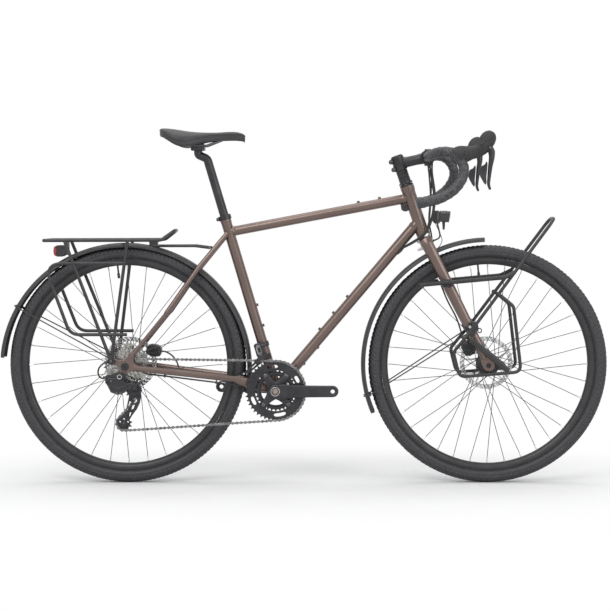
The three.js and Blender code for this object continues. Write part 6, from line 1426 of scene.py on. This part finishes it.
SPIDER_Y = -54.85
crank_boss = [(0, -77), (14.6, -77), (15.4, -76.4), (16, -75), (16, -60), (24, -56), (24, -45), (0, -45)]
crank_pieces = [crank_arm(1, -CRANK_Y), turned(crank_boss, 48, BRACKET),
                turned(hoop(0, 11.9, -60, 70, 0), 40, BRACKET)]
spider_bolts = []
for arm_angle in ARM_ANGLES:
    out = around(1, arm_angle * DEGREE)
    path = [BRACKET + out * r + ACROSS * SPIDER_Y for r in (14, 26, 38, 50, 58, 62)]
    crank_pieces.append(sweep(path, [(4, 19), (4, 13.6), (3.6, 10.6), (3.4, 10.4), (3.2, 9.8), (2.6, 6.4)],
                              20))
    tab = BRACKET + out * 47
    crank_pieces.append(rod(tab + ACROSS * SPIDER_Y, tab + ACROSS * (CHAIN_INNER - 1.2), 4.6, 20))
    spider_bolts.append(screw(BRACKET + out * 55 + ACROSS * (SPIDER_Y - 2.6), -ACROSS, 5.4, 1.8))
    spider_bolts.append(rod(tab + ACROSS * (CHAIN_INNER + 0.9), tab + ACROSS * (CHAIN_INNER + 2.4), 5, 20,
                            0.4))
place("right_crank", joined(*crank_pieces), "black_alloy", "crankset", ["crank_right"], edge=35)
place("chainring_bolts", joined(*spider_bolts), "dark_steel", "crankset", edge=35)
crank_core = [(0, -78), (4.4, -78), (5.2, -78.8), (8.6, -78.8), (9.2, -78.2), (9.6, -76.6), (0, -76.6)]
crank_cap = [(11, -78.2), (11.6, -79.6), (12.8, -79.8), (13.6, -79.2), (14, -77.8), (14, -76.6),
             (11, -76.6)]
place("crank_core", turned(crank_core, 48, BRACKET), "bronze_cap", "crankset", edge=35)
place("crank_cap", turned(crank_cap, 48, BRACKET), "bright_steel", "crankset", edge=35)
left_cap = turned([(0, 78.6), (9.6, 78.6), (10.4, 78), (10.4, 77.4), (15, 77.2), (15, 64), (0, 64)], 48,
                  BRACKET)
place("left_crank", joined(crank_arm(-1, CRANK_Y), left_cap), "black_alloy", "crankset", ["crank_left"],
      edge=35)
for name, way in SIDES.items():
    eye_at = BRACKET + at(-way * CRANK_LENGTH, way * CRANK_Y, 0)
    place("pedal_thread_" + name, turned(hoop(6.2, 7.2, -6.6, 6.6, 0), 36, eye_at), "dark_steel",
          "crankset")
CUP = [(12.4, 34.3), (20.6, 34.3), (21.4, 35), (21.4, 43.6), (20.6, 44.3), (12.4, 44.3)]
cups = [turned([(r, way * y) for r, y in CUP], 48, BRACKET) for way in (-1, 1)]
cups.append(turned(hoop(12.4, 16.2, -34.4, 34.4, 0), 40, BRACKET))
place("bracket_cups", joined(*cups), "black_alloy", "frame", ["bottom_bracket"], edge=30)

# Rear derailleur: pulleys and cage
for name, centre, index in (("guide", GUIDE, 2), ("tension", TENSION, 1)):
    holes = [circle(centre, 2.8, 20)]
    holes += [circle(centre + around(12.4, TURN * k / 5 + 0.3), 3, 14) for k in range(5)]
    wheel = plate(toothed(PULLEY_TEETH, mesh_phase(index), centre, tip=2.8), 2, CHAIN_COG, holes)
    place(name + "_jockey_wheel", wheel, "black_plastic", name + "_pulley", [name + "_pulley"], edge=35)
down = (TENSION - GUIDE).normalized()
cross = at(-down.z, 0, down.x)
CAGE_WAIST = [(0.25, 8), (0.5, 6.4), (0.75, 8)]


def cage_point(share, wide):
    point = GUIDE.lerp(TENSION, share) + cross * wide
    return point.x, point.z


def cage_round(centre, radius, start, steps):
    return [spot(centre, radius, start + math.pi * (k / steps - 0.5)) for k in range(steps + 1)]


back = math.atan2(down.z, down.x)
far_cage = [*cage_round(GUIDE, 11, math.atan2(-down.z, -down.x), 12),
            *[cage_point(t, -wide) for t, wide in CAGE_WAIST], *cage_round(TENSION, 17, back, 14),
            *[cage_point(t, wide) for t, wide in CAGE_WAIST[::-1]]]
slot = [cage_point(share, wide) for share, wide in ((0.34, -2.2), (0.66, -2.2), (0.66, 2.2), (0.34, 2.2))]
near_cage = [(33, 292), (46, 288), (47, 268), (42, 246), (33, 228), (20, 211), (12, 198), (9, 186),
             (1, 176), (-10, 173), (-20, 176), (-26, 185), (-25, 197), (-14, 207), (2, 222), (16, 241),
             (20, 258), (19, 280), (24, 290)]
cage_slots = [[(25, 261), (34, 264), (33, 251), (25, 246)], [(20, 239), (27, 242), (23, 230), (17, 227)],
              [(10, 217), (17, 220), (12, 207), (4, 207)]]
wheel_windows = [circle(TENSION + around(12.4, turn * DEGREE), 3, 14) for turn in (17.2, 89.2, 161.2)]
cage_pieces = [plate(near_cage, 1.8, CHAIN_COG - 5.5, cage_slots + wheel_windows),
               plate(far_cage, 1.6, CHAIN_COG + 5.5, [slot, *wheel_windows])]
cage_bolts = []
for centre in (GUIDE, TENSION):
    middle = centre + ACROSS * CHAIN_COG
    cage_pieces.append(rod(middle - ACROSS * 6.4, middle + ACROSS * 6.4, 2.5, 16))
    cage_pieces.append(turned(hoop(2.5, 5, -2.6, 2.6, 0), 24, middle))
    cage_bolts.append(screw(middle - ACROSS * 6.3, -ACROSS, 3.6, 1.2))
place("jockey_cage", joined(*cage_pieces), "black_alloy", "derailleur_cage", ["rear_derailleur_cage"],
      edge=35)
place("jockey_bolts", joined(*cage_bolts), "dark_steel", "derailleur_cage")

# Rear derailleur: mount, link and knuckle
KNUCKLE_Y = -86.8
LINK_AXIS = at(0, 0.6, 0.8)
HANGER = REAR_HUB + at(-14, KNUCKLE_Y, -28.7)
LINK_REAR = REAR_HUB + at(-50, KNUCKLE_Y, -42)
LINK_FRONT = REAR_HUB + at(30, KNUCKLE_Y, -56)
CAGE_PIVOT = GUIDE + at(4, 0, 14)


def pivot_boss(centre, low, high, radius=8):
    return turned(hoop(0, radius, low, high, 0.8), 32, centre, LINK_AXIS)


arm_end = LINK_REAR + LINK_AXIS * 12.3
b_body = [(-27, 331), (-10, 338.5), (-3, 334), (-1, 325), (-7, 317), (-20, 314), (-32, 318)]
mount_pieces = [turned(hoop(0, 10, -8.5, 8.5, 1), 36, HANGER), pivot_boss(LINK_REAR, 6.8, 17.8),
                sweep([HANGER.lerp(arm_end, t) for t in (0, 0.25, 0.5, 0.8, 1)],
                      [(8.4, 10.6), (7.6, 10), (6.6, 8.6), (5.6, 6.6), (4.4, 5)], 28),
                plate(b_body, 13, KNUCKLE_Y, bevel=2.6),
                rod(HANGER + ACROSS * 6, HANGER + ACROSS * 15.6, 3.4, 20)]
place("hanger_knuckle", joined(*mount_pieces), "black_alloy", "frame", ["rear_derailleur_mount"])
place("cable_adjuster", rod(arm_end - FORWARD * 4, arm_end + at(-15, 0, 2), 3.4, 20, 0.8), "dark_steel",
      "frame")
hanger_face = HANGER - ACROSS * 8.5
hanger_ring = turned([(4.6, -1), (4.6, 1.8), (5.4, 2.6), (7, 2.6), (7.6, 1.8), (7.6, -1)], 32, hanger_face,
                     -ACROSS)
place("hanger_bolt", screw(hanger_face, -ACROSS, 4.6, 1.2), "black_alloy", "frame")
place("hanger_ring", hanger_ring, "bright_steel", "frame")
outer_link = [(-58, 321), (-56, 310), (-50, 299), (-41, 281), (-20, 273), (0, 280), (9, 289), (24, 287),
              (36, 293), (37, 306), (24, 311), (6, 308), (-5, 318), (-30, 324), (-44, 325)]
link_rib = [(-50, 303), (-38, 291), (-18, 285), (2, 293), (10, 299), (2, 303), (-18, 296), (-36, 303)]
link_pieces = [sweep([LINK_REAR.lerp(LINK_FRONT, t) for t in (0, 0.15, 0.4, 0.6, 0.85, 1)],
                     [(6.5, 6.2), (6.4, 6), (5.8, 5.2), (5.8, 5), (6.2, 5.4), (6.3, 5.6)], 28),
               plate(outer_link, 8, KNUCKLE_Y - 3.2, bevel=2.6),
               plate(link_rib, 4, KNUCKLE_Y - 8, bevel=1.4),
               *[pivot_boss(p, -6.4, 6.4, 7.6) for p in (LINK_REAR, LINK_FRONT)]]
place("gear_link", joined(*link_pieces), "black_alloy", "derailleur_link", ["rear_derailleur_link"])
link_screws = [screw((x, KNUCKLE_Y - 7, z), -ACROSS, 3.4, 1.6)
               for x, z in ((-24, 279), (-12, 278), (-40, 314))]
place("link_screws", joined(*link_screws), "dark_steel", "derailleur_link")
drum_near, drum_far = KNUCKLE_Y + 8.3, CHAIN_COG - 6.8
drum = [(0, drum_near), (10.6, drum_near), (12, drum_near + 1.2), (12, drum_far), (0, drum_far)]
drum_cover = [(0, drum_near + 0.4), (12.6, drum_near + 0.4), (14, drum_near + 1.8), (14, drum_far),
              (0, drum_far)]
knuckle_block = [(9, 304), (20, 313), (34, 313), (43, 301), (48, 287), (45, 272), (26, 268), (11, 271),
                 (3, 281)]
knuckle_pieces = [pivot_boss(LINK_FRONT, -17.8, -6.8), turned(drum, 40, CAGE_PIVOT),
                  sweep([LINK_FRONT - LINK_AXIS * 12.3, CAGE_PIVOT + at(0, drum_near + 6, -5)], 5.6, 24,
                        UP),
                  turned(drum_cover, 44, CAGE_PIVOT + at(9, 0, -9)),
                  plate(knuckle_block, 10, -73.4, bevel=2.4)]
place("cage_knuckle", joined(*knuckle_pieces), "black_alloy", "derailleur_knuckle",
      ["rear_derailleur_knuckle"])

# Front derailleur
BAND_AT = on_seat(140)
CHANGER = BAND_AT - ACROSS * 44
changer_block_at = on_seat(128) + collar_back * 13


def beside_seat(outline):
    """Points along and behind the seat tube as X and Z."""
    points = [changer_block_at + collar_back * x + SEAT_DIRECTION * z for x, z in outline]
    return [(p.x, p.z) for p in points]


changer_link = plate(beside_seat([(-5, -17), (5, -17), (9, -10), (9, 9), (4, 17), (-5, 17), (-9, 9),
                                  (-9, -10)]),
                     5, -33, [beside_seat([(-3.4, -6), (3.4, -6), (3.4, 7), (-3.4, 7)])], bevel=1.2)
place("changer_link", changer_link, "rotor_steel", "frame", edge=35)
changer_block = beside_seat([(-13, -20), (9, -22), (13, -16), (13, 18), (8, 22), (-10, 22), (-14, 16)])
changer_body = [turned(hoop(16.1, 18.7, -7, 7, 0.5, 0.6), 48, BAND_AT, SEAT_DIRECTION),
                sweep([BAND_AT - ACROSS * 16, BAND_AT - ACROSS * 26, CHANGER + ACROSS * 6.6],
                      [(6, 8), (5, 6.6), (4.4, 4.4)], 24, UP),
                plate(changer_block, 12, -24.5, bevel=2.4)]
place("changer_band", joined(*changer_body), "black_alloy", "frame", ["front_derailleur_clamp"])
place("changer_screw", screw(BAND_AT + at(6.4, -21, 0), FORWARD, 3.6, 1.6), "dark_steel", "frame")
CAGE_OUTSIDE = [(97, 113), (105, 115), (115, 114), (121.5, 110.6), (128, 105.6), (134, 104.8), (140, 104.8),
                (146, 106.5), (152, 109.4), (155, 112.4), (154.6, 109), (150, 101), (147, 97.4),
                (140, 99.6), (127, 99.4), (121, 99), (112, 100), (105, 101.4), (97, 102)]
CAGE_INSIDE = [(97, 112), (117, 111), (127, 105), (139, 104.4), (147, 106.6), (150, 106), (149, 98),
               (143, 92.4), (131, 90.4), (118, 91.4), (105, 96), (97, 99)]
CAGE_WINDOW = [(127, 99.4), (139.4, 99.6), (140.2, 97), (126.4, 96.8)]
TAIL_WEB = [(150, 105.8), (149.4, 99), (147.6, 99), (148.2, 105.8)]


def on_ring(pairs):
    return [polar(angle, radius) for angle, radius in pairs]


strut_x, strut_z = polar(108, 104)
strut_end = at(strut_x, CHAIN_RING + 6.2, strut_z)
changer_pieces = [plate(on_ring(CAGE_OUTSIDE), 1.3, CHAIN_RING - 6.2),
                  plate(on_ring(CAGE_INSIDE), 1.3, CHAIN_RING + 6.2, [on_ring(CAGE_WINDOW)]),
                  plate(on_ring(TAIL_WEB), 12.4, CHAIN_RING),
                  plate(sector(BRACKET, 111, 113.4, 98, 108), 12.4, CHAIN_RING, bevel=0.4),
                  sweep([CHANGER, CHANGER.lerp(strut_end, 0.5), strut_end],
                        [(3.2, 5.4), (2.8, 4.6), (2.8, 5)], 20),
                  rod(CHANGER - FORWARD * 5.5, CHANGER + FORWARD * 5.5, 5.4, 28, 0.6)]
place("changer_cage", joined(*changer_pieces), "black_alloy", "front_changer_cage",
      ["front_derailleur_cage"])
tail_x, tail_z = polar(151.4, 107)
tail_screw = screw((tail_x, CHAIN_RING - 6.9, tail_z), -ACROSS, 2.8, 1.2)
place("changer_tail_screw", tail_screw, "bright_steel", "front_changer_cage")


# Calipers
def caliper_mesh(hub, centre, lean):
    """Two halves with finned caps over the rotor, and their bolts."""
    outline = [(-23, -9), (-20, -15), (-9, -18), (9, -18), (20, -15), (23, -9), (23, 6), (18, 14), (9, 18),
               (-9, 18), (-18, 14), (-23, 6)]
    cap = [(0, 14), (5.6, 14), (5.6, 16.6), (11.4, 16.6), (12.4, 15.6), (12.4, 12), (0, 12)]
    pieces, bolts = [plate([(-20, 9), (20, 9), (15, 16), (-15, 16)], 6, 0, bevel=0.8)], []
    for way in (-1, 1):
        out = ACROSS * way
        pieces += [plate(outline, 12.6, way * 8.6, bevel=2.8), turned(cap, 40, axis=out)]
        for k in range(14):
            along = around(1, TURN * k / 14)
            middle = at(17.4 * along.x, 0, 14.6 * along.z)
            fin = [middle - along * 3.4 + out * 14.6, middle + along * 3.6 + out * 14.2]
            pieces.append(sweep(fin, (0.8, 1.6), 10))
        bolts += [screw((x, way * 15.1, 0), out, 2.6, 1.4) for x in (-16.5, 16.5)]
    turn = Matrix.Rotation(lean * DEGREE, 4, "Y")
    shift = Matrix.Translation(centre) @ turn
    if (turn @ UP.to_4d()).to_3d().dot(centre - hub) < 0:
        shift = shift @ Matrix.Rotation(math.pi, 4, "Y")
    return moved(joined(*pieces), shift), moved(joined(*bolts), shift)


REAR_CALIPER = REAR_HUB + at(72, HUBS["rear"]["rotor"], 38)
FRONT_CALIPER = FRONT_HUB + at(-54.8, HUBS["front"]["rotor"], 44)
FRONT_LEAN = 62
for end, hub, centre, lean, body in (("rear", REAR_HUB, REAR_CALIPER, 10, "frame"),
                                     ("front", FRONT_HUB, FRONT_CALIPER, FRONT_LEAN, "steering")):
    shell, bolts = caliper_mesh(hub, centre, lean)
    place(end + "_brake_caliper", shell, "black_alloy", body, [end + "_caliper"])
    place(end + "_caliper_bolts", bolts, "dark_steel", body)

# Cables and hoses
HOSE = 2.45
PORT_OUT = perpendicular(DOWN_ENDS, -1)
PORT = DOWN_ENDS[0].lerp(DOWN_ENDS[1], 0.8506)
PORT_TURNS = [(14, 0.8, 0.13, 0.7), (19, 0.64, 0.37, 1), (18, 0.54, 0.56, 0.9), (14, 0.48, 0.7, 0.5),
              (5, 0.45, 0.8, 0.2), (-12, 0.42, 0.862, 0.1), (-42, 0.3, 0.935, 0)]


def hose(points, steps=10, radius=HOSE, sides=16):
    return sweep(smooth_path(points, steps), radius, sides)


def leaving_tape(side, angle):
    return BAR + around(15.4, angle * DEGREE, side * (BAR_HALF * 0.26 - 0.3))


def port_route(side, angle, spread, landing):
    """From the tape's end down beside the head tube and into the port of the down tube."""
    start, port = leaving_tape(side, angle), PORT + PORT_OUT * 12 + ACROSS * landing
    near = on_head(HEAD_LOW)
    fall = start.z - port.z
    middle = [at(near.x + f + 2.2 * spread * wide, side * abs(start.y) * out,
                 start.z - fall * down - 1.8 * spread * min(down, 0.86) ** 6)
              for f, out, down, wide in PORT_TURNS]
    return [start + ACROSS * side * 10, start, *middle, port]


for node, side, angle, spread, landing in (("rear_brake_hose", -1, -100, 0, -7),
                                           ("rear_shift_housing", -1, -35, 6, -0.5),
                                           ("front_shift_housing", 1, -35, 6, 6)):
    route = port_route(side, angle, spread, landing)
    run = new_piece(node + "_run", hose(route), "black_rubber")
    list(metres(route[0]))
    list(metres(route[-1]))
    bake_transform(run)
    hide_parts(node)
port_along = (DOWN_ENDS[1] - DOWN_ENDS[0]).normalized()
grommet = []
for along, rise in ((-20, -3), (-18, 1), (-6, 3.4), (8, 3), (16, 0.6), (17, -3)):
    corner = PORT + PORT_OUT * (16 + rise) + port_along * along
    grommet.append((corner.x, corner.z))
place("port_grommet", plate(grommet, 19, 0, bevel=1.2), "black_rubber", "frame")


def beside_blade(share, y, back=1.0):
    behind = at(ALONG_BLADE.z, 0, -ALONG_BLADE.x)
    return BLADE_FOOT.lerp(CROWN, share) + behind * 20.4 * back + ACROSS * y


start = leaving_tape(1, -100)
end = FRONT_CALIPER + around(23.3, math.pi - FRONT_LEAN * DEGREE)
front_route = [start + ACROSS * 10, start, start + at(16, -14.4, -22.4), start + at(16, -14.4, -89.6),
               on_head(475) + at(34, 49, 0), on_head(418) + at(24, 57, 0), beside_blade(0.88, 59, 0),
               beside_blade(0.7, 59, 0.62), beside_blade(0.52, 49), beside_blade(0.35, 44),
               end + at(-6, 1, 16), end]
place("front_hose", hose(front_route), "black_rubber", "steering", ["front_brake_hose"])
place("front_hose_nut", rod(end + at(-5, 0.6, 12), end, 4.2, 24, 0.6), "dark_steel", "steering")

# Rear ends of the cables, beyond their hidden run in the frame
rear_hose = [(146, 50, 345), (141, 52, 358), (128, 55, 376), (110, 56, 388), (94, 56, 391)]
place("rear_hose_end", hose(rear_hose), "black_rubber", "frame")
shift_loop = [(-26, -76, 369), (-42, -82, 373), (-60, -88, 368), (-74, -91, 355), (-78, -91, 340),
              (-74, -88, 327), (-66, -84.5, 322), (-60, -82, 321.5)]
place("rear_shift_end", hose(shift_loop), "black_rubber", "frame")
stay_low, stay_high = stay_path(CHAIN_STAY, BRACKET, -1)[:2]
under_stay = [stay_high.lerp(stay_low, t) - UP * (18 - 5 * t) + ACROSS * 3
              for t in (-0.05, 0.2, 0.45, 0.7, 0.86)]
under_stay.append(under_stay[-1] + at(-16, -1, 8))
place("stay_cable", hose(under_stay, 6, 1.9, 12), "black_rubber", "frame")
stay_clips = []
for k in (1, 3):
    clip_at = under_stay[k]
    stay_clips.append(turned(hoop(1.7, 4, -3, 3, 0.4, 0.6), 20, clip_at,
                             (under_stay[k + 1] - clip_at).normalized()))
    stay_clips.append(rod(clip_at + UP * 2, clip_at + UP * 8, 1.8, 12))
place("stay_clips", joined(*stay_clips), "black_plastic", "frame")


# Floor, backdrop and light
def backdrop_rays(nodes):
    """One where a camera, mirror or glass ray meets the backdrop, so that they all see it plain white."""
    rays = nodes.add("LightPath")
    mirror = nodes.math("MAXIMUM", rays["Is Camera Ray"], rays["Is Glossy Ray"])
    return nodes.math("MAXIMUM", mirror, rays["Is Transmission Ray"])


bpy.ops.mesh.primitive_plane_add(size=60, location=(0, 0, 0))
floor = bpy.context.object
floor.name = "studio_floor"
ground = new_nodes("studio_floor")
ground.dress(Base_Color=ground.ramp(ground.noise(3), (0.87, 0.87, 0.87), (0.9, 0.9, 0.9)), Roughness=0.8,
             Specular_IOR_Level=0.1)
oval = ground.add("Mapping", Scale=(0.72, 1.5, 1), Vector=ground.add("TexCoord")["Object"])["Vector"]
far = ground.add("VectorMath", oval, operation="LENGTH")["Value"]
fade = ground.add("MapRange", interpolation_type="SMOOTHSTEP", Value=far, From_Min=0.35,
                  From_Max=1.25)["Result"]
white = ground.add("Emission", Color=(1, 1, 1, 1), Strength=1)["Emission"]
white_share = ground.math("MULTIPLY", fade, backdrop_rays(ground))
surface = ground.add("MixShader", white_share, ground.shader.outputs["BSDF"], white)["Shader"]
ground.feed(ground.tree.nodes["Material Output"], "Surface", surface)
floor.data.materials.append(MATERIALS["studio_floor"])
for name, place_at, aim, size, power in (("key", (-2.2, -4.2, 4.4), 0.5, (3.6, 3.0), 150),
                                         ("fill", (3.6, -3.6, 2.4), 0.5, (3.0, 2.6), 70),
                                         ("top", (0, 0.4, 4.8), 0.4, (4.5, 3.0), 90)):
    lamp = bpy.data.lights.new(name, "AREA")
    lamp.shape = "RECTANGLE"
    lamp.size, lamp.size_y = size
    lamp.energy = power
    light = bpy.data.objects.new(name, lamp)
    light.location = place_at
    light.rotation_euler = (at(0, 0, aim) - Vector(place_at)).to_track_quat("-Z", "Y").to_euler()
    bpy.context.scene.collection.objects.link(light)
world = bpy.data.worlds.new("studio")
bpy.context.scene.world = world
sky = Nodes(world)
background = sky.tree.nodes["Background"]
sky.feed(background, "Color", (0.92, 0.93, 0.95, 1))
sky.feed(background, "Strength", 0.5)
seen = sky.add("Background", Color=(1, 1, 1, 1), Strength=1)["Background"]
surface = sky.add("MixShader", backdrop_rays(sky), background.outputs["Background"], seen)["Shader"]
sky.feed(sky.tree.nodes["World Output"], "Surface", surface)
bpy.context.scene.view_settings.view_transform = "Standard"
